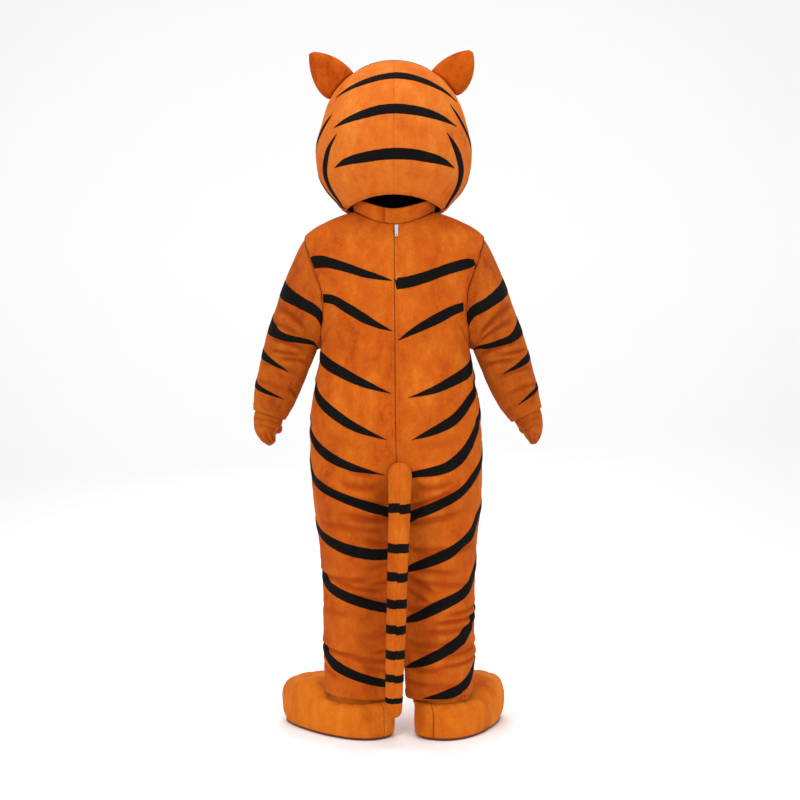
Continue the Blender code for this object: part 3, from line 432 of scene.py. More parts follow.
# %% The jumpsuit's form
SUIT_COLUMNS = ("level", "in_x", "in_y", "in_turn", "in_pull",
                "out_z", "out_x", "out_y", "out_turn", "out_pull", "front", "front_drop")
SUIT_ROWS = (
    (0.105, 0.018, 0.000, 90, 0.42, 0.121, 0.212, 0.000, -90, 0.42, 1.00, 0.000),   # hem
    (0.220, 0.013, 0.000, 90, 0.44, 0.226, 0.216, 0.000, -90, 0.44, 1.00, 0.000),   # calf
    (0.390, 0.008, 0.000, 90, 0.46, 0.390, 0.217, 0.000, -90, 0.46, 1.02, 0.000),   # knee
    (0.540, 0.006, 0.000, 90, 0.52, 0.540, 0.226, 0.000, -90, 0.52, 1.02, 0.000),   # thigh
    (0.620, 0.004, 0.000, 90, 0.58, 0.620, 0.236, 0.000, -90, 0.58, 1.02, 0.000),   # crotch
    (0.650, 0.004, 0.032, 82, 0.56, 0.650, 0.239, 0.000, -90, 0.55, 1.02, 0.000),
    (0.690, 0.004, 0.088, 60, 0.50, 0.690, 0.242, 0.000, -90, 0.47, 1.04, 0.000),
    (0.735, 0.003, 0.137, 30, 0.45, 0.735, 0.245, 0.000, -90, 0.36, 1.07, 0.000),
    (0.790, 0.0004, 0.163, 0, 0.42, 0.790, 0.2465, 0.000, -90, 0.29, 1.12, 0.000),  # seat
    (0.870, 0.0004, 0.166, 0, 0.41, 0.870, 0.2455, 0.000, -90, 0.28, 1.17, 0.000),  # hips
    (0.970, 0.0004, 0.161, 0, 0.40, 0.970, 0.2350, 0.000, -90, 0.27, 1.16, 0.000),  # waist
    (1.050, 0.0004, 0.155, 0, 0.38, 1.050, 0.2200, 0.000, -90, 0.26, 1.10, 0.000),
    (1.100, 0.0004, 0.152, 0, 0.37, 1.100, 0.2120, 0.000, -90, 0.25, 1.06, 0.000),  # armpit
    (1.135, 0.0004, 0.150, 0, 0.35, 1.135, 0.2090, 0.055, -68, 0.19, 1.04, 0.000),
    (1.205, 0.0004, 0.147, 0, 0.33, 1.205, 0.2005, 0.083, -45, 0.16, 1.02, 0.000),
    (1.255, 0.0004, 0.143, 0, 0.33, 1.255, 0.2050, 0.085, -40, 0.15, 1.00, 0.004),
    (1.305, 0.0004, 0.137, 0, 0.34, 1.315, 0.2250, 0.074, -42, 0.15, 0.98, 0.008),
    (1.345, 0.0004, 0.130, 0, 0.36, 1.370, 0.2450, 0.046, -55, 0.16, 0.96, 0.013),
    (1.375, 0.0004, 0.123, 0, 0.37, 1.415, 0.2565, 0.0010, -78, 0.17, 0.95, 0.018),  # shoulder tip
    (1.394, 0.0004, 0.117, 0, 0.35, 1.440, 0.2330, 0.0010, -90, 0.18, 0.95, 0.020),
    (1.412, 0.0004, 0.111, 0, 0.31, 1.462, 0.1940, 0.0010, -90, 0.17, 0.95, 0.021),
    (1.428, 0.0004, 0.105, 0, 0.26, 1.478, 0.1550, 0.0010, -90, 0.165, 0.95, 0.022),
    (1.444, 0.0004, 0.098, 0, 0.19, 1.490, 0.1150, 0.0010, -90, 0.160, 0.95, 0.023),  # neck
)
SUIT_EDGE = 0.0012      # share of a row left free at each seam
ARMPIT_LEVEL = 1.100
TIP_LEVEL = 1.375
NECK_LEVEL = 1.444
HEM_LEVEL = 0.105
FRONT_HEM_LIFT = 0.046
HEM_FADE_LEVEL = 0.30
PLUSH_WALL = 0.003
SPREAD = 0.32           # metres of cloth for one unit of round_, near enough at every level


def suit_form(level, round_):
    """Cubic from a row's inner edge to its outer edge; past 1 it comes back along the front."""
    front = round_ > 1
    across = np.where(front, 2 - round_, round_)
    row = table_at(SUIT_COLUMNS, SUIT_ROWS, level)
    depth = np.where(front, -row["front"], 1.0)
    turn_in, turn_out = np.radians(row["in_turn"]), np.radians(row["out_turn"])
    x = hermite(row["in_x"], row["in_pull"] * np.cos(turn_in),
                row["out_x"], row["out_pull"] * np.cos(turn_out), across)
    y = depth * hermite(row["in_y"], row["in_pull"] * np.sin(turn_in),
                        row["out_y"], row["out_pull"] * np.sin(turn_out), across)
    z_in = level - row["front_drop"] * front
    z = z_in + (row["out_z"] - z_in) * smooth(across)
    hem = np.clip((HEM_FADE_LEVEL - level) / (HEM_FADE_LEVEL - HEM_LEVEL), 0, 1)
    z = z + front * FRONT_HEM_LIFT * hem * np.sin(math.pi * np.clip(across, 0, 1))
    return np.stack([x, y, z], axis=-1)


# %% Folds, seams and hems of the jumpsuit
LEG_FOLDS = {           # across = metres from the inseam round the back, up = height
    "left": (
        (0.02, 0.665, 0.23, 0.715, 0.020, 0.0050, 0.010),
        (0.02, 0.630, 0.20, 0.640, 0.016, 0.0045, 0.010),
        (0.05, 0.590, 0.30, 0.625, 0.014, 0.0035, 0.009),
        (0.01, 0.540, 0.16, 0.575, 0.010, 0.0040, 0.009),
        (0.10, 0.452, 0.33, 0.470, 0.012, 0.0055, 0.008),
        (0.06, 0.415, 0.25, 0.452, 0.010, 0.0050, 0.007),
        (0.02, 0.452, 0.14, 0.436, 0.006, 0.0035, 0.006),
        (0.03, 0.502, 0.15, 0.478, 0.004, 0.0030, 0.006),
        (0.02, 0.375, 0.20, 0.420, 0.008, 0.0035, 0.008),
        (0.16, 0.350, 0.33, 0.372, 0.006, 0.0030, 0.009),
        (0.02, 0.300, 0.17, 0.290, 0.006, 0.0030, 0.010),
        (0.14, 0.232, 0.34, 0.262, 0.006, 0.0055, 0.006),
        (0.02, 0.252, 0.13, 0.242, 0.004, 0.0035, 0.006),
        (0.02, 0.215, 0.20, 0.232, 0.006, 0.0040, 0.008),
        (0.03, 0.180, 0.15, 0.205, 0.004, 0.0030, 0.007),
        (0.20, 0.160, 0.33, 0.215, 0.010, 0.0035, 0.009),
    ),
    "right": (
        (0.02, 0.650, 0.18, 0.715, 0.012, 0.0055, 0.010),
        (0.02, 0.610, 0.24, 0.655, 0.016, 0.0045, 0.009),
        (0.04, 0.545, 0.20, 0.540, 0.012, 0.0050, 0.009),
        (0.08, 0.510, 0.30, 0.560, 0.010, 0.0040, 0.009),
        (0.02, 0.470, 0.16, 0.400, -0.008, 0.0060, 0.008),
        (0.02, 0.492, 0.24, 0.468, 0.006, 0.0035, 0.006),
        (0.03, 0.425, 0.15, 0.372, -0.006, 0.0035, 0.006),
        (0.06, 0.455, 0.27, 0.432, 0.008, 0.0035, 0.008),
        (0.02, 0.360, 0.22, 0.400, 0.010, 0.0045, 0.008),
        (0.12, 0.325, 0.33, 0.352, 0.006, 0.0055, 0.006),
        (0.16, 0.345, 0.34, 0.378, 0.004, 0.0038, 0.0062),
        (0.08, 0.300, 0.32, 0.322, 0.008, 0.0040, 0.007),
        (0.02, 0.272, 0.22, 0.268, 0.008, 0.0040, 0.009),
        (0.15, 0.225, 0.34, 0.262, 0.004, 0.0055, 0.007),
        (0.14, 0.198, 0.34, 0.228, 0.006, 0.0050, 0.006),
        (0.12, 0.242, 0.28, 0.262, 0.004, 0.0038, 0.0062),
        (0.04, 0.252, 0.20, 0.238, 0.004, 0.0030, 0.006),
        (0.03, 0.205, 0.18, 0.192, 0.008, 0.0040, 0.008),
        (0.02, 0.160, 0.20, 0.150, 0.006, 0.0040, 0.008),
        (0.10, 0.130, 0.22, 0.148, 0.004, 0.0030, 0.007),
    ),
}
FRONT_FOLDS = (         # the same on both legs, from the side seam round the front
    (0.36, 0.600, 0.60, 0.640, 0.012, 0.0045, 0.010),
    (0.42, 0.545, 0.62, 0.520, 0.010, 0.0040, 0.010),
    (0.36, 0.455, 0.56, 0.430, 0.010, 0.0050, 0.009),
    (0.40, 0.415, 0.61, 0.440, 0.008, 0.0045, 0.008),
    (0.35, 0.370, 0.55, 0.350, 0.008, 0.0040, 0.009),
    (0.38, 0.270, 0.58, 0.250, 0.008, 0.0050, 0.008),
    (0.36, 0.225, 0.55, 0.240, 0.006, 0.0045, 0.008),
    (0.42, 0.190, 0.61, 0.180, 0.006, 0.0040, 0.008),
    (0.34, 0.175, 0.48, 0.195, 0.004, 0.0035, 0.008),
)
BODY_FOLDS = (          # small ones at the seat, the waist and below the armpits
    (0.03, 0.745, 0.13, 0.775, 0.012, 0.0040, 0.009),
    (0.03, 0.715, 0.16, 0.730, 0.014, 0.0040, 0.009),
    (0.30, 1.070, 0.24, 1.170, 0.010, 0.0030, 0.010),
    (0.34, 1.070, 0.42, 1.170, -0.010, 0.0035, 0.010),
    (0.05, 0.815, 0.20, 0.860, 0.006, 0.0015, 0.012),
    (0.22, 0.905, 0.36, 0.880, 0.008, 0.0018, 0.014),
    (0.25, 0.990, 0.37, 1.015, 0.006, 0.0018, 0.014),
    (0.46, 0.760, 0.62, 0.735, 0.010, 0.0040, 0.010),
    (0.45, 0.715, 0.62, 0.695, 0.010, 0.0040, 0.010),
)
SEAM_DIP = 0.0016
SEAM_SOFT = 0.0045
HEM_ROLL = 0.0018
HEM_DEEP = 0.014
LEG_PAINTED_SHADE = 0.16        # painted shade on the legs: how much of the deeper orange they take, the height where it starts, and the height over which it comes in
LEG_PAINTED_SHADE_TOP = 0.74    # the height where it starts,
LEG_PAINTED_SHADE_RUN = 0.20    # and the height over which it comes in


def suit_relief(level, round_, side_name):
    """Folds + slow lumps - a soft dip at each seam + a turned-up hem."""
    across = SPREAD * round_
    folds = LEG_FOLDS[side_name] + FRONT_FOLDS + BODY_FOLDS
    height, shade = fold_relief(across, level, folds)
    height += 0.0016 * lumps(across * 34, level * 30, 1.0 if side_name == "left" else 2.0)
    height += 0.0006 * lumps(across * 120, level * 90, 3.0)
    seam = bell(across - SPREAD, SEAM_SOFT)
    inner = bell(across, SEAM_SOFT) + bell(2 * SPREAD - across, SEAM_SOFT)
    armhole = bell(SPREAD - across, SEAM_SOFT) * (level > ARMPIT_LEVEL)
    height -= SEAM_DIP * (seam + 0.8 * inner + 0.4 * armhole)
    above_hem = level - HEM_LEVEL
    hem = bell(above_hem - 0.4 * HEM_DEEP, 0.6 * HEM_DEEP) - bell(above_hem - HEM_DEEP, 0.003)
    height += HEM_ROLL * hem
    # painted shade: the legs are drawn darker towards the floor, as less light falls there
    legs = LEG_PAINTED_SHADE * smooth((LEG_PAINTED_SHADE_TOP - level) / LEG_PAINTED_SHADE_RUN)
    shade = np.clip(shade + 0.5 * seam * (level < ARMPIT_LEVEL) + 0.4 * inner + legs, 0, 1)
    return height, shade


def suit_skin(level, round_, side_name, side, height=0.0):
    """The jumpsuit's outer face with its folds, moved out by height."""
    relief, _ = suit_relief(level, round_, side_name)
    return placed(raised(suit_form, level, round_, relief + height), side)


# %% Cut the four panels
SUIT_STEPS_UP = 300
SUIT_STEPS_ACROSS = 78
LEVELS = np.concatenate([
    np.linspace(HEM_LEVEL, ARMPIT_LEVEL, int(SUIT_STEPS_UP * 0.74), endpoint=False),
    np.linspace(ARMPIT_LEVEL, TIP_LEVEL, int(SUIT_STEPS_UP * 0.2), endpoint=False),
    np.linspace(TIP_LEVEL, NECK_LEVEL, int(SUIT_STEPS_UP * 0.06) + 1)])
for side_name, side in SIDES:
    for face, start in (("back", 0.0), ("front", 1.0)):
        across = start + SUIT_EDGE + (1 - 2 * SUIT_EDGE) * cosine_steps(SUIT_STEPS_ACROSS)
        level_grid, across_grid = np.meshgrid(LEVELS, across, indexing="ij")
        grid = suit_skin(level_grid, across_grid, side_name, side)
        _, shade = suit_relief(level_grid, across_grid, side_name)
        name = f"suit_{face}_{side_name}_cloth"
        piece(name, [grid], ORANGE, f"suit_{face}_{side_name}", wall=PLUSH_WALL,
              inside=LINING, shade=shade)
        print(name, "area", round(grid_area(grid), 3))

# %% [markdown]
# ## Stripes
# On the real costume each stripe is cut from black plush and sewn flat on the orange. It could be
# painted into the material, but then its edge would be flat. Here it is a strip of pile a
# millimetre and a half proud that follows the same surface, folds and all. A row of a stripe's
# table gives a place on the cloth and the stripe's half width there, so a stripe can swell, taper
# to a point or end square at a seam. Its edge wavers a little, as cut pile does.

# %% A stripe on any cloth
STRIPE_LIFT = 0.0016
STRIPE_STEPS = 90
TOP = np.array([-1.0, -0.93, -0.7, -0.35, 0.0, 0.35, 0.7, 0.93, 1.0])
PILE_SHAPE = np.array([0.35, 0.75, 0.95, 1.0, 1.0, 1.0, 0.95, 0.75, 0.35])
UNDER = np.array([1.0, 0.4, -0.4, -1.0])
UNDER_LIFT = 0.0001


def stripe(skin, rows, metres, seed, lift=STRIPE_LIFT):
    """A middle line eased through rows of (u, v, half width); its section is a low flat arch.

    The line is followed by distance, and the arch is set off square to it on the flat cloth."""
    u, v, half = (np.array(column, dtype=float) for column in zip(*rows))
    run = np.hypot(np.diff(u) * metres[0], np.diff(v) * metres[1])
    knots = np.concatenate([[0.0], np.cumsum(run)])
    at = np.linspace(0, knots[-1], STRIPE_STEPS)
    u, v, half = eased(knots, u, at), eased(knots, v, at), eased(knots, half, at)
    slope_u, slope_v = np.gradient(u) * metres[0], np.gradient(v) * metres[1]
    length = np.hypot(slope_u, slope_v)
    share = np.concatenate([TOP, UNDER])[None, :]
    height = np.concatenate([lift * PILE_SHAPE, np.full(len(UNDER), UNDER_LIFT)])[None, :]
    waver = 1 + 0.035 * lumps(at[:, None] * 210, share * 2.0, seed)
    off = half[:, None] * share * waver
    grid_u = u[:, None] - (slope_v / length)[:, None] * off / metres[0]
    grid_v = v[:, None] + (slope_u / length)[:, None] * off / metres[1]
    return skin(grid_u, grid_v, height + 0 * grid_u)


# %% The jumpsuit's stripes
# (round_, level, half width): from the side of the body in to its point near the centre back
FINE = 0.0005
STRIPES = {
    "left": {
        "shoulder": ((0.985, 1.322, 0.0125), (0.75, 1.325, 0.0135), (0.50, 1.317, 0.0130),
                     (0.25, 1.299, 0.0105), (0.12, 1.290, 0.0065), (0.012, 1.281, FINE)),
        "blade": ((0.985, 1.237, 0.0120), (0.80, 1.233, 0.0135), (0.56, 1.211, 0.0150),
                  (0.34, 1.184, 0.0135), (0.15, 1.158, 0.0080), (0.015, 1.141, FINE)),
        "ribs": ((1.55, 1.150, FINE), (1.25, 1.130, 0.0110), (0.97, 1.088, 0.0140), (0.70, 1.057, 0.0165),
                 (0.47, 1.030, 0.0150), (0.23, 0.996, 0.0105), (0.03, 0.969, FINE)),
        "waist": ((1.60, 1.080, FINE), (1.25, 1.047, 0.0110), (0.90, 0.990, 0.0130), (0.72, 0.953, 0.0145),
                  (0.55, 0.923, 0.0145), (0.30, 0.876, 0.0115), (0.06, 0.841, FINE)),
        "hip": ((1.60, 0.965, FINE), (1.25, 0.942, 0.0110), (1.00, 0.899, 0.0125), (0.85, 0.850, 0.0140),
                (0.60, 0.802, 0.0145), (0.35, 0.768, 0.0105), (0.08, 0.744, FINE)),
        "seat": ((1.65, 0.845, FINE), (1.25, 0.824, 0.0120), (0.97, 0.775, 0.0135), (0.82, 0.729, 0.0145),
                 (0.60, 0.697, 0.0155), (0.40, 0.667, 0.0160), (0.20, 0.640, 0.0165), (0.06, 0.627, 0.0165)),
        "thigh": ((1.65, 0.660, FINE), (1.25, 0.640, 0.0120), (0.97, 0.600, 0.0130), (0.79, 0.564, 0.0140),
                  (0.52, 0.530, 0.0160), (0.30, 0.519, 0.0155), (0.10, 0.517, 0.0140), (0.02, 0.516, 0.0140)),
        "knee": ((1.65, 0.540, FINE), (1.25, 0.512, 0.0120), (0.97, 0.467, 0.0130), (0.80, 0.429, 0.0150),
                 (0.53, 0.393, 0.0145), (0.30, 0.371, 0.0135), (0.10, 0.358, 0.0135), (0.02, 0.355, 0.0135)),
        "ankle": ((1.60, 0.310, FINE), (1.25, 0.290, 0.0110), (1.00, 0.250, 0.0120), (0.88, 0.233, 0.0140),
                  (0.71, 0.199, 0.0155), (0.48, 0.171, 0.0135), (0.22, 0.151, 0.0110), (0.06, 0.142, 0.0080)),
    },
    "right": {
        "shoulder": ((0.97, 1.318, FINE), (0.88, 1.320, 0.0090), (0.69, 1.317, 0.0140),
                     (0.50, 1.308, 0.0150), (0.34, 1.295, 0.0155), (0.15, 1.280, 0.0160),
                      (0.008, 1.272, 0.0160)),
        "blade": ((0.93, 1.213, 0.0120), (0.72, 1.202, 0.0140), (0.50, 1.183, 0.0145),
                  (0.28, 1.159, 0.0120), (0.12, 1.135, 0.0070), (0.025, 1.116, FINE)),
        "ribs": ((1.35, 1.170, FINE), (1.12, 1.115, 0.0090), (0.94, 1.060, 0.0150), (0.74, 1.033, 0.0170),
                 (0.50, 1.006, 0.0145), (0.28, 0.977, 0.0095), (0.09, 0.957, FINE)),
        "waist": ((1.60, 1.110, FINE), (1.20, 1.083, 0.0090), (0.98, 1.025, 0.0110), (0.84, 0.981, 0.0130),
                  (0.68, 0.950, 0.0145), (0.45, 0.894, 0.0145), (0.26, 0.863, 0.0100), (0.11, 0.841, FINE)),
        "hip": ((1.60, 0.985, FINE), (1.20, 0.975, 0.0090), (0.97, 0.945, 0.0100), (0.83, 0.894, 0.0125),
                (0.70, 0.850, 0.0145), (0.50, 0.788, 0.0160), (0.32, 0.758, 0.0135), (0.10, 0.745, 0.0085)),
        "seat": ((1.60, 0.880, FINE), (1.20, 0.858, 0.0100), (0.97, 0.800, 0.0110), (0.71, 0.740, 0.0140),
                 (0.52, 0.681, 0.0160), (0.36, 0.648, 0.0165), (0.20, 0.622, 0.0160), (0.05, 0.604, 0.0140)),
        "thigh": ((1.60, 0.720, FINE), (1.20, 0.694, 0.0100), (0.89, 0.632, 0.0120), (0.81, 0.582, 0.0140),
                  (0.57, 0.524, 0.0155), (0.36, 0.494, 0.0135), (0.18, 0.474, 0.0075), (0.05, 0.465, FINE)),
        "knee": ((1.60, 0.590, FINE), (1.20, 0.556, 0.0100), (0.94, 0.484, 0.0130), (0.79, 0.421, 0.0150),
                 (0.52, 0.379, 0.0160), (0.30, 0.344, 0.0130), (0.08, 0.320, 0.0040)),
        "calf": ((1.55, 0.440, FINE), (1.20, 0.410, 0.0100), (0.90, 0.335, 0.0140), (0.75, 0.288, 0.0165),
                 (0.49, 0.237, 0.0155), (0.28, 0.209, 0.0110), (0.08, 0.190, FINE)),
        "ankle": ((1.55, 0.290, FINE), (1.20, 0.262, 0.0100), (0.98, 0.205, 0.0115), (0.77, 0.141, 0.0165),
                  (0.60, 0.121, 0.0150), (0.47, 0.1155, 0.0085), (0.33, 0.1105, FINE)),
    },
}
for side_name, side in SIDES:
    grids = [stripe(lambda u, v, h: suit_skin(v, u, side_name, side, h), rows, (SPREAD, 1.0), number)
             for number, rows in enumerate(STRIPES[side_name].values(), start=1)]
    piece(f"suit_stripes_{side_name}", grids, BLACK, wrap=True, closed=True)
    print("stripes on the", side_name, len(grids))

# %% [markdown]
# ## Sleeves
# A sleeve is one tube sewn into the armhole. Its cap is a cubic from every point of the armhole to
# the first ring of the arm; below it the rings follow a table down to the cuff. `around` is 0 at the
# inner side, 0.25 in front, 0.5 outside and 0.75 behind; `along` is 0 at the armhole and 1 at the cuff.

# %% The sleeve's form
SLEEVE_COLUMNS = ("along", "x", "y", "z", "half_wide", "half_deep")
SLEEVE_ROWS = {
    "left": (
        (0.40, 0.297, -0.004, 1.115, 0.0750, 0.0760),   # biceps
        (0.55, 0.315, -0.012, 1.062, 0.0715, 0.0720),   # elbow
        (0.70, 0.334, -0.023, 1.006, 0.0665, 0.0680),
        (0.85, 0.352, -0.034, 0.953, 0.0600, 0.0620),
        (1.00, 0.367, -0.043, 0.908, 0.0500, 0.0520),   # cuff
    ),
    "right": (
        (0.40, 0.297, -0.004, 1.115, 0.0750, 0.0760),
        (0.55, 0.316, -0.012, 1.062, 0.0730, 0.0730),
        (0.70, 0.336, -0.023, 1.006, 0.0685, 0.0690),
        (0.85, 0.358, -0.034, 0.953, 0.0610, 0.0630),
        (1.00, 0.380, -0.043, 0.908, 0.0500, 0.0520),
    ),
}
CAP_END = 0.40
SLEEVE_GAP = 0.0006
SLEEVE_ROUND = 0.42     # metres round the sleeve
SLEEVE_LONG = 0.52      # metres along it


def armhole(around):
    """The jumpsuit's outer edge between the armpit and the shoulder's tip."""
    front = around <= 0.5
    share = np.where(front, 2 * around, 2 - 2 * around)
    level = ARMPIT_LEVEL + (TIP_LEVEL - ARMPIT_LEVEL) * share
    return np.where(front[..., None], suit_form(level, np.full_like(level, 1.0 + 1e-9)),
                    suit_form(level, np.ones_like(level)))


def tube_ring(table, around):
    """Centre - half_wide cos(a) across - half_deep sin(a) back: rings square to a line in X-Z."""
    centre = np.stack([table["x"], table["y"], table["z"]], axis=-1)
    angle = 2 * math.pi * around
    slope = table["slope"]
    out = np.stack([np.cos(slope), np.zeros_like(slope), np.sin(slope)], axis=-1)
    return (centre - (table["half_wide"] * np.cos(angle))[..., None] * out
            - (table["half_deep"] * np.sin(angle))[..., None] * np.array([0.0, 1.0, 0.0]))


def with_slope(columns, rows, at):
    """A table's values and its centre line's slope in X-Z."""
    table = table_at(columns, rows, at)
    step = 0.02
    low, high = (table_at(columns, rows, np.clip(at + s, rows[0][0], rows[-1][0])) for s in (-step, step))
    table["slope"] = np.arctan2(high["x"] - low["x"], low["z"] - high["z"])
    return table


def sleeve_form(along, around, rows):
    """A cap from the armhole to the biceps ring, then rings down to the cuff."""
    around = np.mod(around, 1.0)
    lower = tube_ring(with_slope(SLEEVE_COLUMNS, rows, np.maximum(along, CAP_END)), around)
    biceps = with_slope(SLEEVE_COLUMNS, rows, np.full_like(along, CAP_END))
    end = tube_ring(biceps, around)
    start = armhole(around)
    angle = 2 * math.pi * around
    lead = np.stack([0.62 + 0.12 * np.cos(angle), -0.30 * np.sin(angle),
                     -0.72 + 0.10 * np.cos(angle)], axis=-1)
    lead /= np.linalg.norm(lead, axis=-1, keepdims=True)
    reach = np.linalg.norm(end - start, axis=-1, keepdims=True)
    axis = np.stack([np.sin(biceps["slope"]), np.zeros_like(along), -np.cos(biceps["slope"])], axis=-1)
    cap = hermite(start + SLEEVE_GAP * lead, reach * lead, end, reach * axis,
                  np.clip(along / CAP_END, 0, 1)[..., None])
    return np.where((along < CAP_END)[..., None], cap, lower)


# %% Folds of the sleeves
SLEEVE_FOLDS = {        # across = metres round from the inner side, up = metres below the armhole
    "left": (
        (0.20, 0.150, 0.36, 0.128, 0.008, 0.0045, 0.009),
        (0.22, 0.190, 0.35, 0.168, 0.008, 0.0035, 0.008),
        (0.24, 0.225, 0.38, 0.222, 0.008, 0.0040, 0.008),
        (0.26, 0.262, 0.36, 0.238, -0.006, 0.0040, 0.007),
        (0.29, 0.292, 0.40, 0.262, 0.008, 0.0035, 0.008),
        (0.22, 0.322, 0.39, 0.318, 0.006, 0.0025, 0.009),
        (0.21, 0.392, 0.38, 0.396, 0.006, 0.0025, 0.008),
        (0.34, 0.372, 0.41, 0.412, 0.004, 0.0035, 0.007),
        (0.03, 0.200, 0.17, 0.212, 0.008, 0.0045, 0.009),
        (0.02, 0.250, 0.18, 0.240, 0.008, 0.0040, 0.009),
        (0.03, 0.330, 0.16, 0.320, 0.006, 0.0030, 0.009),
    ),
    "right": (
        (0.20, 0.145, 0.38, 0.130, 0.008, 0.0050, 0.009),
        (0.24, 0.172, 0.39, 0.160, 0.008, 0.0035, 0.008),
        (0.25, 0.235, 0.40, 0.232, 0.008, 0.0040, 0.008),
        (0.23, 0.268, 0.34, 0.252, -0.006, 0.0040, 0.007),
        (0.28, 0.300, 0.40, 0.275, 0.008, 0.0040, 0.008),
        (0.22, 0.345, 0.38, 0.335, 0.006, 0.0030, 0.008),
        (0.21, 0.415, 0.37, 0.405, 0.006, 0.0030, 0.008),
        (0.03, 0.195, 0.17, 0.205, 0.008, 0.0045, 0.009),
        (0.02, 0.255, 0.18, 0.245, 0.008, 0.0040, 0.009),
        (0.03, 0.340, 0.16, 0.325, 0.006, 0.0030, 0.009),
    ),
}


def sleeve_relief(along, around, side_name):
    """Folds + slow lumps - the dip of the armhole seam and of the underarm seam + the cuff's hem."""
    across, down = SLEEVE_ROUND * around, SLEEVE_LONG * along
    height, shade = fold_relief(across, down, SLEEVE_FOLDS[side_name])
    height += 0.0012 * lumps(2.0 * np.sin(2 * math.pi * around), down * 34, 1.5)
    seam = bell(down, SEAM_SOFT)
    under = bell(np.minimum(across, SLEEVE_ROUND - across), SEAM_SOFT)
    hem = SLEEVE_LONG - down
    height -= SEAM_DIP * (seam + 0.5 * under)
    height -= 0.0014 * bell(hem - HEM_DEEP, 0.003) + 0.0015 * bell(hem, 0.005)
    return height, np.clip(shade + 0.45 * seam + 0.4 * bell(hem, 0.006), 0, 1)


def sleeve_skin(along, around, side_name, side, height=0.0):
    """The sleeve's outer face with its folds, moved out by height."""
    relief, _ = sleeve_relief(along, np.mod(around, 1.0), side_name)
    rows = SLEEVE_ROWS[side_name]
    return placed(raised(lambda u, v: sleeve_form(u, v, rows), along, around, relief + height), side)


# %% Cut the sleeves and their stripes
SLEEVE_STEPS = (130, 112)
SLEEVE_STRIPES = {      # (around, along, half width)
    "left": (
        ((0.20, 0.160, FINE), (0.35, 0.222, 0.0110), (0.525, 0.206, 0.0160), (0.67, 0.160, 0.0150),
         (0.80, 0.070, 0.0150), (0.86, 0.012, 0.0140)),
        ((0.16, 0.310, FINE), (0.35, 0.336, 0.0110), (0.50, 0.340, 0.0145), (0.58, 0.366, 0.0155),
         (0.70, 0.384, 0.0135), (0.82, 0.350, 0.0120), (0.93, 0.282, 0.0110), (0.99, 0.262, 0.0060)),
        ((0.28, 0.505, FINE), (0.42, 0.515, 0.0120), (0.55, 0.552, 0.0155), (0.66, 0.584, 0.0110),
         (0.80, 0.616, FINE)),
        ((0.30, 0.718, FINE), (0.42, 0.738, 0.0110), (0.53, 0.774, 0.0130), (0.68, 0.806, 0.0090),
         (0.84, 0.818, FINE)),
    ),
    "right": (
        ((0.20, 0.152, FINE), (0.35, 0.203, 0.0110), (0.525, 0.194, 0.0150), (0.68, 0.156, 0.0150),
         (0.80, 0.068, 0.0150), (0.86, 0.014, 0.0140)),
        ((0.16, 0.318, FINE), (0.35, 0.350, 0.0110), (0.50, 0.352, 0.0145), (0.58, 0.376, 0.0160),
         (0.70, 0.410, 0.0140), (0.82, 0.398, 0.0120), (0.93, 0.348, 0.0090), (0.99, 0.328, FINE)),
        ((0.28, 0.512, FINE), (0.42, 0.528, 0.0120), (0.53, 0.562, 0.0145), (0.68, 0.608, 0.0100),
         (0.80, 0.630, FINE)),
        ((0.30, 0.742, FINE), (0.42, 0.768, 0.0100), (0.53, 0.805, 0.0115), (0.66, 0.848, 0.0085),
         (0.79, 0.882, FINE)),
    ),
}
for side_name, side in SIDES:
    along_grid, around_grid = np.meshgrid(np.linspace(0, 1, SLEEVE_STEPS[0]),
                                          np.arange(SLEEVE_STEPS[1]) / SLEEVE_STEPS[1], indexing="ij")
    grid = sleeve_skin(along_grid, around_grid, side_name, side)
    _, shade = sleeve_relief(along_grid, around_grid, side_name)
    piece(f"sleeve_{side_name}_cloth", [grid], SHADED_ARM_ORANGE, f"sleeve_{side_name}", wrap=True,
          wall=PLUSH_WALL, inside=LINING, shade=shade)
    print("sleeve area", round(grid_area(grid), 3))
    grids = [stripe(lambda u, v, h: sleeve_skin(v, u, side_name, side, h), rows,
                    (SLEEVE_ROUND, SLEEVE_LONG), 20 + number)
             for number, rows in enumerate(SLEEVE_STRIPES[side_name])]
    piece(f"sleeve_stripes_{side_name}", grids, BLACK, wrap=True, closed=True)

# %% [markdown]
# ## Mitts
# Each mitt is a palm and a back, sewn round the edge, with a stuffed thumb. The rings narrow to a
# rounded tip. Three soft furrows in the back half hint at the fingers.

# %% Mitts and thumbs
MITT_COLUMNS = ("along", "x", "y", "z", "half_wide", "half_deep")
MITT_ROWS = {
    "left": (
        (0.00, 0.3650, -0.043, 0.916, 0.0425, 0.0430),
        (0.25, 0.3720, -0.050, 0.891, 0.0420, 0.0455),
        (0.50, 0.3775, -0.061, 0.868, 0.0350, 0.0480),
        (0.75, 0.3740, -0.072, 0.845, 0.0260, 0.0430),
        (1.00, 0.3650, -0.080, 0.827, 0.0140, 0.0240),
    ),
    "right": (
        (0.00, 0.3780, -0.043, 0.916, 0.0425, 0.0430),
        (0.25, 0.3890, -0.050, 0.891, 0.0395, 0.0455),
        (0.50, 0.3975, -0.061, 0.868, 0.0310, 0.0470),
        (0.75, 0.4005, -0.072, 0.845, 0.0230, 0.0420),
        (1.00, 0.4020, -0.080, 0.829, 0.0120, 0.0220),
    ),
}
MITT_TIP = 0.008
MITT_WALL = 0.0025
MITT_EDGE = 0.003
SEAM_HALF = 0.0003
THUMBS = {    # start and end of each thumb's middle line
    "left": ((0.352, -0.1120, 0.883), (0.346, -0.1200, 0.852)),
    "right": ((0.372, -0.1140, 0.883), (0.380, -0.1260, 0.852)),
}
THUMB_RADII = (0.0120, 0.0135, 0.0100)


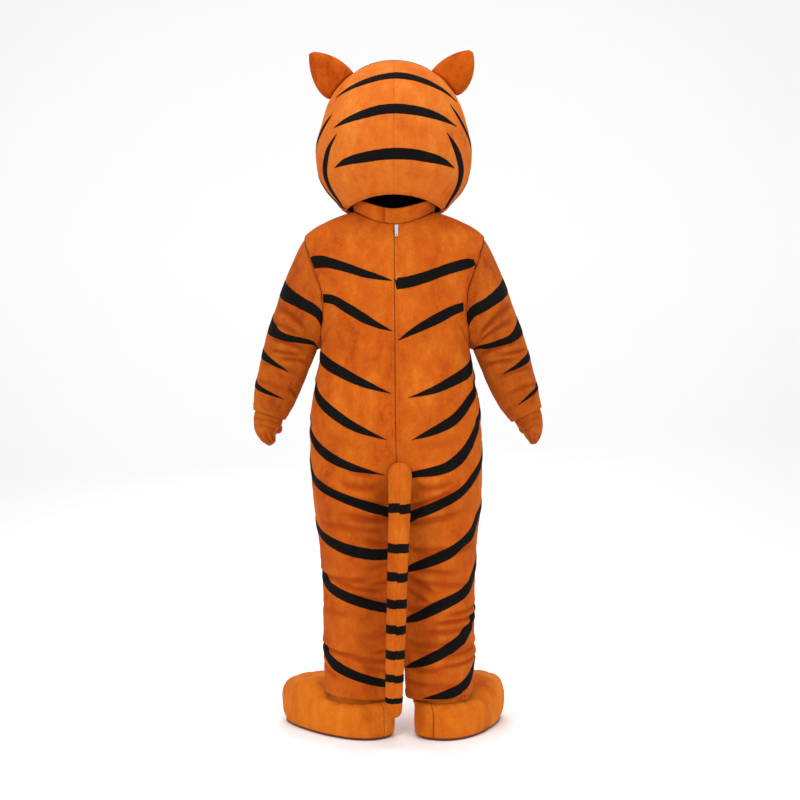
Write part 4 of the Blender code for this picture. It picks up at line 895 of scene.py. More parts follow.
def mitt_form(along, around, rows):
    """Rings from the wrist to the tips; past 1 they shrink as a quarter circle does."""
    table = with_slope(MITT_COLUMNS, rows, np.clip(along, 0, 1))
    past = np.clip(along - 1, 0, 1)
    shrink = np.sqrt(np.clip(1 - past ** 2, 0, 1))
    table["half_wide"] = table["half_wide"] * shrink
    table["half_deep"] = table["half_deep"] * shrink
    points = tube_ring(table, around)
    points[..., 2] -= MITT_TIP * past
    points[..., 1] -= MITT_TIP * past * 0.4
    return points


MITT_FOLDS = (          # across = share round the mitt, up = share along it
    (0.52, 0.30, 0.95, 0.22, 0.03, 0.0022, 0.05),
    (0.60, 0.42, 0.98, 0.50, 0.03, 0.0018, 0.05),
    (0.05, 0.28, 0.45, 0.36, 0.03, 0.0020, 0.05),
    (0.66, 0.52, 0.62, 1.20, 0.01, 0.0022, 0.022),
    (0.76, 0.50, 0.75, 1.25, 0.00, 0.0022, 0.022),
    (0.86, 0.52, 0.88, 1.20, -0.01, 0.0022, 0.022),
)
for side_name, side in SIDES:
    for half, first, shift in (("palm", 0.0, -SEAM_HALF), ("back", 0.5, SEAM_HALF)):
        around = first + MITT_EDGE + (0.5 - 2 * MITT_EDGE) * cosine_steps(44)
        along = np.concatenate([np.linspace(0, 1, 44, endpoint=False),
                                1 + np.sin(np.linspace(0, math.pi / 2, 14))])
        along_grid, around_grid = np.meshgrid(along, around, indexing="ij")
        height, shade = fold_relief(around_grid, along_grid, MITT_FOLDS)
        edge = np.minimum(around_grid - first, first + 0.5 - around_grid) * 0.24
        height = (height - 0.0009 * bell(edge, 0.003)) * np.clip(3 * (2 - along_grid), 0, 1)
        rows = MITT_ROWS[side_name]
        grid = raised(lambda u, v: mitt_form(u, v, rows), along_grid, around_grid, height)
        grid[..., 1] += shift
        piece(f"mitt_{half}_{side_name}_cloth", [placed(grid, side)], SHADED_ARM_ORANGE,
              f"mitt_{half}_{side_name}", wall=MITT_WALL, inside=LINING, shade=shade)
    thumb_start, thumb_end = THUMBS[side_name]
    heading = np.subtract(thumb_end, thumb_start)
    length = np.linalg.norm(heading)
    heading = heading / length
    sweep = np.linspace(0.02, math.pi - 0.02, 26)
    run = (1 - np.cos(sweep)) / 2
    radius = eased((0.0, 0.5, 1.0), THUMB_RADII, run) * np.sin(sweep) ** 0.7
    first_axis = np.cross(heading, (0.0, 1.0, 0.0))
    first_axis /= np.linalg.norm(first_axis)
    second_axis = np.cross(heading, first_axis)
    turn = 2 * math.pi * np.arange(28) / 28
    middle = np.array(thumb_start) + (run * length)[:, None] * heading
    thumb = (middle[:, None] + (radius[:, None] * np.cos(turn))[..., None] * first_axis
             + (radius[:, None] * np.sin(turn))[..., None] * second_axis)
    piece(f"thumb_{side_name}_pad", [placed(thumb, side)], SHADED_ARM_ORANGE, f"thumb_{side_name}",
          wrap=True, closed=True)

# %% [markdown]
# ## Stand collar
# The collar stands on the neck's edge, leans in behind and flares at the sides. Its right half runs
# on past the zip as a tab that lies over the left half and closes the neck above the slider. Its
# top edge is folded over, so the wall is fattest there, and the tab's end puckers where it is sewn.

# %% The collar
COLLAR_HEIGHT = 0.044
COLLAR_LEAN = 0.010
COLLAR_FLARE = 0.013    # how far the top edge leans out at the side of the neck
COLLAR_CLEAR = 0.0008
COLLAR_WALL = 0.003
COLLAR_EDGE = 0.004
TAB_REACH = 0.028
NECK_SPREAD = 0.38      # metres of neck edge for one unit of its parameter, at the centre back
LAP_CLEAR = 0.0012


def collar_form(up, around):
    """The neck's edge, raised by height times up, leaning in behind and flaring out at the side."""
    front = around <= 0.5
    across = np.where(front, 2 * around, 2 - 2 * around)
    level = np.full_like(across, NECK_LEVEL)
    base = np.where(front[..., None], suit_form(level, 2 - across), suit_form(level, across))
    outwards = base * (1.0, 1.0, 0.0)
    outwards /= np.linalg.norm(outwards, axis=-1, keepdims=True)
    lean = COLLAR_LEAN - (COLLAR_LEAN + COLLAR_FLARE) * smooth(np.abs(outwards[..., 0]) / 0.9)
    points = base - lean[..., None] * up[..., None] * outwards
    points[..., 2] += COLLAR_CLEAR + COLLAR_HEIGHT * up
    return points


def collar_relief(up, metres):
    """A fat folded top edge, a stitched-in lower edge and slow puckers along the band."""
    roll = 0.0014 * bell(up - 0.88, 0.16) - 0.0012 * bell(1.02 - up, 0.05)
    puckers = 0.0011 * lumps(metres * 60, up * 3.0, 4.0) * np.sin(math.pi * np.clip(up, 0, 1))
    return roll + puckers - 0.0010 * bell(up, 0.06)


up_steps = np.linspace(0, 1, 26)
around_steps = COLLAR_EDGE + (1 - 2 * COLLAR_EDGE) * cosine_steps(110)
up_grid, around_grid = np.meshgrid(up_steps, around_steps, indexing="ij")
collar_height = collar_relief(up_grid, around_grid * NECK_SPREAD)
left_collar = placed(raised(collar_form, up_grid, around_grid, collar_height, out=-1.0), 1)
right_half = placed(raised(collar_form, up_grid, around_grid, collar_height, out=-1.0), -1)
lap = smooth((around_grid - 0.80) / 0.13)
right_half[..., 1] += (COLLAR_WALL + LAP_CLEAR) * lap
tab_run = np.linspace(0.06, 1, 22) * TAB_REACH
tab_up, tab_place = np.meshgrid(up_steps, 1 - tab_run / NECK_SPREAD, indexing="ij")
tab_end = np.clip((tab_run / TAB_REACH - 0.55) / 0.45, 0, 1)[None, :]
tab_height = (collar_relief(tab_up, (2 - tab_place) * NECK_SPREAD)
              + 0.0018 * bell(tab_end - 0.55, 0.3) - 0.0016 * tab_end ** 3)
tab = placed(raised(collar_form, tab_up, tab_place, tab_height, out=-1.0), 1)
tab[..., 1] += COLLAR_WALL + LAP_CLEAR
tab[..., 2] += 0.0030 * tab_end * (0.5 - tab_up)
right_collar = np.concatenate([right_half, tab], axis=1)
for side_name, grid in (("left", left_collar), ("right", right_collar)):
    edge_shade = np.repeat(0.5 * bell(up_steps, 0.07)[:, None], grid.shape[1], axis=1)
    if side_name == "right":
        edge_shade[:, -tab_end.shape[1]:] += 0.45 * tab_end ** 4
    else:
        edge_shade += 0.6 * bell((1 - around_steps) * NECK_SPREAD - TAB_REACH - 0.004, 0.006)
    piece(f"collar_{side_name}_cloth", [grid], ORANGE, f"collar_{side_name}",
          wall=COLLAR_WALL, inside=LINING, shade=edge_shade)
    print("collar area", round(grid_area(grid), 4))

# %% [markdown]
# ## The head
# The head is a foam shell covered in plush, cut as four panels that meet at the crown. Its level
# sections come from a table, and `down` swings from the crown to the edge of the neck's opening,
# which is arched up at the back. The dark inside shows above the collar.

# %% The head's form
HEAD_COLUMNS = ("height", "half_wide", "back", "front")
HEAD_ROWS = (
    (1.456, 0.116, 0.106, 0.122),
    (1.480, 0.138, 0.128, 0.145),
    (1.511, 0.160, 0.152, 0.172),
    (1.557, 0.1985, 0.184, 0.202),
    (1.602, 0.2185, 0.201, 0.217),
    (1.648, 0.2240, 0.207, 0.222),
    (1.694, 0.2200, 0.205, 0.219),
    (1.740, 0.2095, 0.198, 0.210),
    (1.786, 0.1965, 0.183, 0.196),
    (1.821, 0.1795, 0.166, 0.179),
    (1.865, 0.1450, 0.134, 0.146),
    (1.892, 0.1120, 0.104, 0.113),
    (1.911, 0.0730, 0.069, 0.074),
    (1.9210, 0.0330, 0.031, 0.033),
    (1.9235, 0.0000, 0.000, 0.000),
)
HEAD_Y = -0.015
CROWN_HEIGHT = 1.9235
RIM_BACK = 1.518
RIM_SIDE = 1.490
RIM_FRONT = 1.472
RIM_ARCH = 2.4          # how narrow the arch at the back is
FOAM_SHELL = 0.009
HEAD_GAP = 0.0001
HEAD_ROUND = 0.20       # metres for one radian of turn


def rim_height(turn):
    """The neck opening's edge by direction: highest behind, lowest under the chin."""
    back = np.clip(np.cos(turn), 0, 1) ** RIM_ARCH
    front = np.clip(-np.cos(turn), 0, 1) ** 2
    return RIM_SIDE + (RIM_BACK - RIM_SIDE) * back + (RIM_FRONT - RIM_SIDE) * front


def head_form(height, turn):
    """half_wide sin(turn), depth cos(turn) at a height; turn is 0 behind and pi in front."""
    ring = table_at(HEAD_COLUMNS, HEAD_ROWS, height)
    deep = np.where(np.cos(turn) >= 0, ring["back"], ring["front"])
    return np.stack([ring["half_wide"] * np.sin(turn), HEAD_Y + deep * np.cos(turn), height + 0 * turn],
                    axis=-1)


def head_relief(height, turn):
    """Slow lumps of foam - the dips of the seams - the edge rolled in at the neck."""
    side_seam = bell((np.abs(turn) - math.pi / 2) * HEAD_ROUND, 0.004)
    back_seam = bell(turn * HEAD_ROUND, 0.003) * smooth((CROWN_HEIGHT - height) / 0.02)
    front_seam = bell((np.abs(turn) - math.pi) * HEAD_ROUND, 0.003)
    seams = 0.9 * back_seam + side_seam + front_seam
    rolled = 0.005 * bell(height - rim_height(turn), 0.006)
    body = (0.0012 * lumps(3.0 * np.sin(turn), height * 24, 2.5)
            + 0.0008 * lumps(8 * np.sin(turn), height * 60, 1.0))
    fade = np.clip((CROWN_HEIGHT - height) / 0.03, 0, 1)
    return body * fade - 0.0010 * seams * fade - rolled, 0.3 * np.clip(seams, 0, 1) * fade


def head_skin(height, turn, lift=0.0):
    """The head's plush, moved out by lift; turn is negative on the right-hand side."""
    relief, _ = head_relief(height, turn)
    return placed(raised(head_form, height, turn, relief + lift), 1)


# %% Cut the head's four panels
for side_name, side in SIDES:
    for face, first, gap in (("back", 0.0, HEAD_GAP), ("front", math.pi / 2, -HEAD_GAP)):
        down = np.linspace(0, 1, 110)
        turn = side * (first + math.pi / 2 * cosine_steps(64))
        down_grid, turn_grid = np.meshgrid(down, turn, indexing="ij")
        height = CROWN_HEIGHT - (CROWN_HEIGHT - rim_height(turn_grid)) * np.sin(down_grid * math.pi / 2) ** 2
        grid = head_skin(height, turn_grid) + (side * HEAD_GAP, gap, 0.0)
        _, shade = head_relief(height, turn_grid)
        piece(f"head_{face}_{side_name}_plush", [grid], LIT_HEAD_ORANGE, f"head_{face}_{side_name}",
              wall=FOAM_SHELL, inside=LINING, shade=shade)
        print("head panel area", round(grid_area(grid), 4))

# %% The head's stripes
# (turn in degrees, height, half width); the middle ones cross the centre seam with a slight kink
HEAD_STRIPES = (
    ((58, 1.802, FINE), (43, 1.822, 0.0070), (25, 1.839, 0.0095), (10, 1.849, 0.0105), (-2, 1.853, 0.0105),
     (-15, 1.850, 0.0110), (-31, 1.839, 0.0105), (-49, 1.820, 0.0075), (-67, 1.794, FINE)),
    ((50, 1.710, FINE), (37, 1.725, 0.0085), (21, 1.739, 0.0130), (8, 1.748, 0.0140), (-1, 1.750, 0.0140),
     (-12, 1.748, 0.0140), (-26, 1.742, 0.0130), (-40, 1.731, 0.0090), (-54, 1.715, FINE)),
    ((49, 1.598, FINE), (37, 1.610, 0.0095), (20, 1.618, 0.0140), (8, 1.623, 0.0150), (-1.5, 1.625, 0.0155),
     (-12, 1.624, 0.0150), (-24, 1.619, 0.0140), (-38, 1.611, 0.0095), (-51, 1.598, FINE)),
)
SIDE_STRIPES = {
    "left": (
        ((46, 1.690, FINE), (54, 1.655, 0.0080), (60, 1.620, 0.0120), (65, 1.585, 0.0125),
         (69, 1.550, 0.0120), (73, 1.520, 0.0110), (76, 1.498, 0.0095)),
        ((57, 1.752, FINE), (65, 1.730, 0.0080), (75, 1.700, 0.0110), (92, 1.664, 0.0110),
         (112, 1.635, FINE)),
        ((90, 1.600, FINE), (88, 1.572, 0.0100), (86, 1.540, 0.0140), (85, 1.505, 0.0150)),
        ((92, 1.790, FINE), (105, 1.768, 0.0090), (122, 1.745, FINE)),
    ),
    "right": (
        ((-42, 1.692, FINE), (-50, 1.655, 0.0095), (-57, 1.620, 0.0130), (-63, 1.583, 0.0135),
         (-68, 1.548, 0.0125), (-73, 1.520, 0.0115), (-77, 1.498, 0.0105)),
        ((-52, 1.778, FINE), (-61, 1.745, 0.0065), (-71, 1.710, 0.0085), (-88, 1.672, 0.0100),
         (-108, 1.640, FINE)),
        ((-90, 1.590, FINE), (-94, 1.560, 0.0090), (-100, 1.530, 0.0110), (-104, 1.505, 0.0090)),
        ((-92, 1.790, FINE), (-106, 1.768, 0.0090), (-122, 1.745, FINE)),
    ),
}
DEGREE = math.pi / 180


def crown_skin(x, y, lift):
    """The crown by plan position: height from how far out it is, as a share of the sections."""
    heights = [row[0] for row in HEAD_ROWS][::-1]
    reach = [row[1] for row in HEAD_ROWS][::-1]
    out = np.hypot(x, (y - HEAD_Y) / 0.93)
    height = eased(reach[:9], heights[:9], np.clip(out, 0, 0.19))
    return head_skin(height, np.arctan2(x, (y - HEAD_Y) / 0.93), lift)


def brow(rows, seed):
    """A stripe over the crown, given by (x, y, half width) in plan."""
    return stripe(crown_skin, rows, (1.0, 1.0), seed)


head_grids = [stripe(lambda u, v, h: head_skin(v, u, h),
                     [(turn * DEGREE, height, half) for turn, height, half in rows],
                      (HEAD_ROUND, 1.0), number)
              for number, rows in enumerate(
                   HEAD_STRIPES + SIDE_STRIPES["left"] + SIDE_STRIPES["right"], start=40)]
head_grids.append(brow(((0.110, 0.000, FINE), (0.080, 0.010, 0.0090), (0.030, 0.018, 0.0120),
                        (0.0, 0.020, 0.0125), (-0.030, 0.018, 0.0120), (-0.080, 0.010, 0.0090),
                        (-0.110, 0.000, FINE)), 60))
head_grids.append(brow(((0.090, -0.088, FINE), (0.045, -0.078, 0.0100), (0.0, -0.074, 0.0120),
                        (-0.045, -0.078, 0.0100), (-0.090, -0.088, FINE)), 61))
piece("head_stripes", head_grids, BLACK, wrap=True, closed=True)
print("head stripes", len(head_grids))

# %% [markdown]
# ## Ears
# Each ear is two leaves of plush, puffed with stuffing and sewn round the edge to a point. A leaf is
# ruled between two Bezier edges that meet at the tip; its swell is highest in the middle and falls
# away as a quarter ellipse at the sewn edge, which keeps the edge round instead of sharp.

# %% The ears
EARS = {
    "left": (((0.119, 1.898), (0.148, 1.935), (0.196, 1.957), (0.236, 1.954)),
             ((0.190, 1.820), (0.222, 1.831), (0.248, 1.892), (0.245, 1.949))),
    "right": (((0.111, 1.904), (0.138, 1.937), (0.180, 1.959), (0.218, 1.960)),
              ((0.185, 1.830), (0.217, 1.840), (0.243, 1.900), (0.228, 1.954))),
}
EAR_BASE_BOW = 0.009
EAR_PUFF = 0.019
EAR_WALL = 0.004
EAR_Y = -0.020
EAR_ROOT = -0.05        # the ear's base is sewn in a little under the head's pile


def bezier(points, t):
    """a(1-t)^3 + 3b t(1-t)^2 + 3c t^2(1-t) + d t^3 through four x, z points."""
    a, b, c, d = (np.array(p) for p in points)
    t = t[..., None]
    return a * (1 - t) ** 3 + 3 * b * t * (1 - t) ** 2 + 3 * c * t * t * (1 - t) + d * t ** 3


def ear_leaf(across, along, forward, edges):
    """Ruled x, z between the edges; y = middle + forward (edge + puff * swell)."""
    upper, lower = (bezier(line, along) for line in edges)
    flat = upper + (lower - upper) * across[..., None]
    bow = EAR_BASE_BOW * 4 * across * (1 - across) * (1 - np.clip(along, 0, 1)) ** 2
    edge = np.clip(np.minimum(4 * across * (1 - across), 3 * (1 - along)), 0, 1)
    rounded = np.sqrt(np.clip(1 - (1 - np.clip(edge / 0.35, 0, 1)) ** 2, 0, 1))
    swell = (np.sqrt(np.clip(4 * across * (1 - across), 0, 1))
             * (0.35 + 0.65 * np.sqrt(1 - np.clip(along, 0, 1) ** 2)))
    puff = EAR_PUFF if forward > 0 else 0.5 * EAR_PUFF
    hollow = 0.0 if forward > 0 else 0.006 * bell(across - 0.5, 0.28) * bell(along - 0.3, 0.35)
    y = EAR_Y + forward * (0.0003 + EAR_WALL * rounded + puff * swell * rounded - hollow)
    y = y + 0.0010 * lumps(across * 9, along * 9, 2.0) * rounded
    return np.stack([flat[..., 0] + 0.75 * bow, y, flat[..., 1] + 0.66 * bow], axis=-1)


along_grid, across_grid = np.meshgrid(EAR_ROOT + (1 - EAR_ROOT) * np.sin(np.linspace(0, math.pi / 2, 50)),
                                      cosine_steps(44), indexing="ij")
for side_name, side in SIDES:
    for face, forward in (("back", 1.0), ("front", -1.0)):
        outer = ear_leaf(across_grid, along_grid, forward, EARS[side_name])
        inner = np.array(outer)
        inner[..., 1] = EAR_Y + forward * 0.0003
        grid = np.concatenate([inner[:, ::-1], outer], axis=1)
        # the ears' backs take the darker copy, with painted shade
        finish = SHADED_EAR_ORANGE if face == "back" else ORANGE
        piece(f"ear_{face}_{side_name}_pad", [placed(grid, side)], finish,
              f"ear_{face}_{side_name}", wrap=True, closed=True)

# %% [markdown]
# ## The face
# The face looks away, so it is plain: a padded cream muzzle with a nose and two glossy eyes. Each is
# a pad whose underside lies on what is below it and whose top is half an ellipsoid.

# %% Muzzle, nose and eyes
MUZZLE = {"x": 0.0, "z": 1.575, "wide": 0.112, "high": 0.072, "puff": 0.058}
NOSE = {"x": 0.0, "z": 1.612, "wide": 0.034, "high": 0.021, "puff": 0.020}
EYE = {"x": 0.078, "z": 1.700, "wide": 0.036, "high": 0.046, "puff": 0.010}
PUPIL = {"x": 0.072, "z": 1.695, "wide": 0.019, "high": 0.027, "puff": 0.007}
PAD_CLEAR = 0.0020
PAD_EDGE = 0.003
PAD_RINGS = 22
PAD_SPOKES = 72


def head_front_y(x, z):
    """The head's front at x, z: middle - depth * sqrt(1 - (x / half_wide)^2)."""
    ring = table_at(HEAD_COLUMNS, HEAD_ROWS, z)
    return HEAD_Y - ring["front"] * np.sqrt(np.clip(1 - (x / ring["half_wide"]) ** 2, 0, 1))


def dome(x, z, pad):
    """puff * sqrt(1 - r^2), r measured in half widths from the pad's middle."""
    away = ((x - pad["x"]) / pad["wide"]) ** 2 + ((z - pad["z"]) / pad["high"]) ** 2
    return pad["puff"] * np.clip(1 - away, 0, 1) ** 0.5


def cheeks(x, z):
    """The muzzle's dome with a furrow down from the nose and a mouth line to each side of it."""
    below = smooth((NOSE["z"] - z) / 0.02)
    furrow = 0.010 * bell(x, 0.007) * below
    mouth = 0.008 * bell(z - 1.548 - 1.6 * x ** 2, 0.005) * bell(x, 0.062)
    return dome(x, z, MUZZLE) * (1 - 0.10 * bell(x, 0.02) * below) - furrow - mouth


def on_muzzle(x, z):
    return head_front_y(x, z) - PAD_CLEAR - PAD_EDGE - dome(x, z, MUZZLE)


def on_eye(x, z):
    return head_front_y(x, z) - PAD_CLEAR - PAD_EDGE - dome(x, z, EYE)


def pad(shape, under, top):
    """Rings from the middle underneath, out to the edge and back over the top to the middle."""
    out = np.sin(np.linspace(0.02, math.pi / 2, PAD_RINGS))
    spread = np.concatenate([out, out[::-1]])[:, None]
    turn = 2 * math.pi * np.arange(PAD_SPOKES) / PAD_SPOKES
    x = shape["x"] + shape["wide"] * spread * np.cos(turn)
    z = shape["z"] + shape["high"] * spread * np.sin(turn)
    upper = (np.arange(len(spread)) >= PAD_RINGS)[:, None]
    y = under(x, z) - PAD_CLEAR - upper * (PAD_EDGE + top(x, z))
    return np.stack([x, y, z], axis=-1)


piece("muzzle_pad", [placed(pad(MUZZLE, head_front_y, cheeks), 1)], CREAM, "muzzle",
      wrap=True, closed=True)
piece("nose_pad", [placed(pad(NOSE, on_muzzle, lambda x, z: dome(x, z, NOSE)), 1)], BLACK,
      "nose", wrap=True, closed=True)
for side_name, side in SIDES:
    piece(f"eye_{side_name}_dome", [placed(pad(EYE, head_front_y, lambda x, z: dome(x, z, EYE)), side)],
          EYE_WHITE, f"eye_{side_name}", wrap=True, closed=True)
    piece(f"pupil_{side_name}_dome", [placed(pad(PUPIL, on_eye, lambda x, z: dome(x, z, PUPIL)), side)],
          PUPIL_GLOSS, f"pupil_{side_name}", wrap=True, closed=True)

# %% [markdown]
# ## Foot covers
# A foot cover is two halves, outer and inner, sewn up the heel and over the toe, on a dark sole.
# In plan it is a squared oval; `along` climbs from the sole over a dome that is low at the heel and
# high over the instep, and turns in to the ankle under the leg's hem.

# %% The feet
FOOT_HALF_WIDE = 0.105
FOOT_HALF_LONG = 0.210
FOOT_SQUARENESS = 2.35
HEEL_TO_MIDDLE = 0.110
SOLE_THICK = 0.008
SOLE_INSET = 0.008
FOOT_WALL = 0.006
FOOT_CLEAR = 0.0004
ANKLE_HALF_WIDE = 0.077
ANKLE_HALF_DEEP = 0.085
HEEL_SHOULDER = 0.095
INSTEP_SHOULDER = 0.141
FOOT_COLUMNS = ("along", "reach", "rise")
FOOT_ROWS = (
    (0.00, 0.940, 0.00),
    (0.14, 1.020, 0.22),
    (0.30, 1.035, 0.50),
    (0.45, 0.960, 0.77),
    (0.60, 0.740, 0.94),
    (0.75, 0.420, 1.00),
    (0.88, 0.110, 1.03),
    (1.00, 0.000, 1.25),
)
FEET = {    # heel centre x, y, turn-out in degrees, ankle centre x
    "left": (0.097, 0.025, 41.0, 0.102),
    "right": (-0.143, 0.025, -23.0, -0.125),
}
FOOT_ROUND = 0.16       # metres for one radian round the foot


def foot_plan(turn, foot, grow=0.0):
    """A superellipse |cos|^(2/n), |sin|^(2/n), turned out and moved to the heel's place."""
    heel_x, heel_y, turn_out, _ = foot
    forward = np.sign(np.cos(turn)) * np.abs(np.cos(turn)) ** (2 / FOOT_SQUARENESS)
    sideways = np.sign(np.sin(turn)) * np.abs(np.sin(turn)) ** (2 / FOOT_SQUARENESS)
    ahead = HEEL_TO_MIDDLE + (FOOT_HALF_LONG + grow) * forward
    aside = (FOOT_HALF_WIDE + grow) * sideways
    out = math.radians(turn_out)
    return (heel_x + ahead * math.sin(out) + aside * math.cos(out),
            heel_y - ahead * math.cos(out) + aside * math.sin(out))


def foot_form(along, turn, foot):
    """Between the sole's outline and the ankle's ring by reach; height by rise."""
    table = table_at(FOOT_COLUMNS, FOOT_ROWS, along)
    out_x, out_y = foot_plan(turn, foot)
    out = math.radians(foot[2])
    facing = math.pi / 2 - turn - out
    ankle_x = foot[3] + ANKLE_HALF_WIDE * np.cos(facing)
    ankle_y = -ANKLE_HALF_DEEP * np.sin(facing)
    x = ankle_x + (out_x - ankle_x) * table["reach"]
    y = ankle_y + (out_y - ankle_y) * table["reach"]
    ahead = (x - foot[0]) * math.sin(out) - (y - foot[1]) * math.cos(out)
    shoulder = HEEL_SHOULDER + (INSTEP_SHOULDER - HEEL_SHOULDER) * smooth((ahead - 0.03) / 0.13)
    return np.stack([x, y, SOLE_THICK + FOOT_CLEAR + (shoulder - SOLE_THICK) * table["rise"]], axis=-1)


def foot_relief(along, turn):
    """Slow lumps - dips of the heel's and toe's seams + gathers, and a swell, under the hem."""
    whole = np.mod(turn, 2 * math.pi)
    heel = bell((whole - math.pi) * FOOT_ROUND, 0.003)
    toe = bell(np.minimum(whole, 2 * math.pi - whole) * FOOT_ROUND, 0.003)
    gathers = 0.0022 * np.sin(13 * turn + 2 * np.sin(3 * turn)) * bell(along - 0.66, 0.16)
    soft = 0.0016 * lumps(2.6 * np.sin(turn), 2.6 * np.cos(turn) + 5 * along, 1.2)
    welt = -0.0012 * bell(along - 0.02, 0.02) + 0.0030 * bell(along - 0.76, 0.14)
    return soft + gathers + welt - 0.0011 * (heel + toe), 0.25 * np.clip(heel + toe, 0, 1)


for side_name, foot in FEET.items():
    for half, first in (("outer", 0.0), ("inner", math.pi)):
        if side_name == "right":
            first = math.pi - first
        turn = first + 0.004 + (math.pi - 0.008) * cosine_steps(90)
        along_grid, turn_grid = np.meshgrid(np.linspace(0, 1, 80), turn, indexing="ij")
        height, shade = foot_relief(along_grid, turn_grid)
        grid = raised(lambda u, v: foot_form(u, v, foot), along_grid, turn_grid, height, out=-1.0)
        piece(f"foot_{half}_{side_name}_plush", [settled(grid)], LIT_FOOT_ORANGE,
              f"foot_{half}_{side_name}", wall=FOOT_WALL, inside=LINING, shade=shade)
        print("foot half area", round(grid_area(grid), 4))
    turn = 2 * math.pi * np.arange(120) / 120
    edge = ((-SOLE_INSET - 0.002, 0.0), (-SOLE_INSET, 0.0015), (-SOLE_INSET, SOLE_THICK - 0.001),
            (-SOLE_INSET - 0.001, SOLE_THICK))
    rings = []
    for grow, height in edge:
        x, y = foot_plan(turn, foot, grow)
        rings.append(settled(np.stack([x, y, np.full_like(x, height)], axis=-1)))
    piece(f"sole_{side_name}_rubber", [np.stack(rings)], RUBBER, f"sole_{side_name}",
          wrap=True, closed=True)

# %% [markdown]
# ## The tail
# A stuffed tube: it leaves the seat, turns down and hangs to just above the floor. Its rings are
# square to a centre line from a table. The dark bands are short tubes of black plush sewn round it,
# whose two halves do not quite meet in line at the seam behind, and each pulls the tail in a little.

# %% The tail and its bands
TAIL_COLUMNS = ("along", "x", "y", "z", "radius")
TAIL_ROWS = (
    (0.00, -0.0110, 0.168, 0.7470, 0.0325),
    (0.05, -0.0110, 0.188, 0.7440, 0.0325),
    (0.10, -0.0110, 0.201, 0.7200, 0.0320),
    (0.18, -0.0105, 0.204, 0.6600, 0.0300),
    (0.40, -0.0050, 0.203, 0.4950, 0.0280),
    (0.65, 0.0000, 0.200, 0.3100, 0.0265),
    (0.85, 0.0040, 0.197, 0.1750, 0.0245),
    (1.00, 0.0050, 0.195, 0.1050, 0.0225),
)
TAIL_TIP = 0.022
TAIL_GAP = 0.0020
TAIL_BANDS = (0.6565, 0.5490, 0.4710, 0.3990, 0.3280, 0.2620, 0.1970, 0.1350)
BAND_HALF = 0.0125
BAND_LIFT = 0.0018
TAIL_SEAM = math.pi / 2  # the direction of the seam: straight back


def seat_depth(x, z):
    """The seat's y at a place: the nearest point of a fine grid of the jumpsuit's back."""
    level, across = np.meshgrid(np.linspace(0.68, 0.82, 120), np.linspace(0, 0.6, 120), indexing="ij")
    cloud = np.concatenate([placed(suit_form(level, across), side).reshape(-1, 3) for _, side in SIDES])
    apart = (cloud[:, 0] - x[..., None]) ** 2 + (cloud[:, 2] - z[..., None]) ** 2
    return cloud[np.argmin(apart, axis=-1), 1]


def tail_form(along, turn):
    """Centre + radius (cos(turn) across + sin(turn) back), square to the centre line."""
    table = table_at(TAIL_COLUMNS, TAIL_ROWS, along)
    centre = np.stack([table["x"], table["y"], table["z"]], axis=-1)
    ends = [table_at(TAIL_COLUMNS, TAIL_ROWS, np.clip(along + s, 0, 1)) for s in (-0.01, 0.01)]
    heading = np.stack([ends[1][k] - ends[0][k] for k in ("x", "y", "z")], axis=-1)
    heading = np.where((along <= 0.012)[..., None], (0.0, 1.0, -0.05), heading)
    heading = heading / np.linalg.norm(heading, axis=-1, keepdims=True)
    across = np.cross(heading, (1.0, 0.0, 0.0))
    across = across / np.linalg.norm(across, axis=-1, keepdims=True)
    side = np.cross(across, heading)
    return (centre + (table["radius"] * np.cos(turn))[..., None] * side
            - (table["radius"] * np.sin(turn))[..., None] * across)


tail_heights = np.array([row[3] for row in TAIL_ROWS[2:]][::-1])
tail_places = np.array([row[0] for row in TAIL_ROWS[2:]][::-1])
band_places = np.interp(TAIL_BANDS, tail_heights, tail_places)


def tail_relief(along, turn):
    """Slow lumps + a little pinch under each band - the dip of the seam behind."""
    height = 0.0010 * lumps(2.2 * np.cos(turn), along * 42, 1.4)
    for place in band_places:
        height = height - 0.0012 * bell((along - place) * 0.75, 0.014)
    seam = bell((turn - TAIL_SEAM) * 0.027, 0.0022)
    return height - 0.0012 * seam, 0.5 * seam


TAIL_SPOKES = 64
tail_turn = TAIL_SEAM + 2 * math.pi * np.arange(TAIL_SPOKES) / TAIL_SPOKES
tail_turn = np.where(tail_turn > 2 * math.pi, tail_turn - 2 * math.pi, tail_turn)
tail_along = np.concatenate([np.linspace(0.0, 0.12, 26, endpoint=False), np.linspace(0.12, 1.0, 190)])
along_grid, turn_grid = np.meshgrid(tail_along, tail_turn, indexing="ij")
height, shade = tail_relief(along_grid, turn_grid)
tail = settled(raised(tail_form, along_grid, turn_grid, height))
tail[0, :, 1] = seat_depth(tail[0, :, 0], tail[0, :, 2]) + TAIL_GAP
tip_middle = tail[-1].mean(axis=0)
tip = np.stack([tip_middle + (tail[-1] - tip_middle) * math.cos(a) + (0, 0, -TAIL_TIP * math.sin(a))
                for a in np.linspace(0.12, 1.5, 14)])
piece("tail_pad", [np.concatenate([tail, tip])], LIT_TAIL_ORANGE, "tail", wrap=True, closed=True,
      shade=np.concatenate([shade, np.zeros(tip.shape[:2])]))


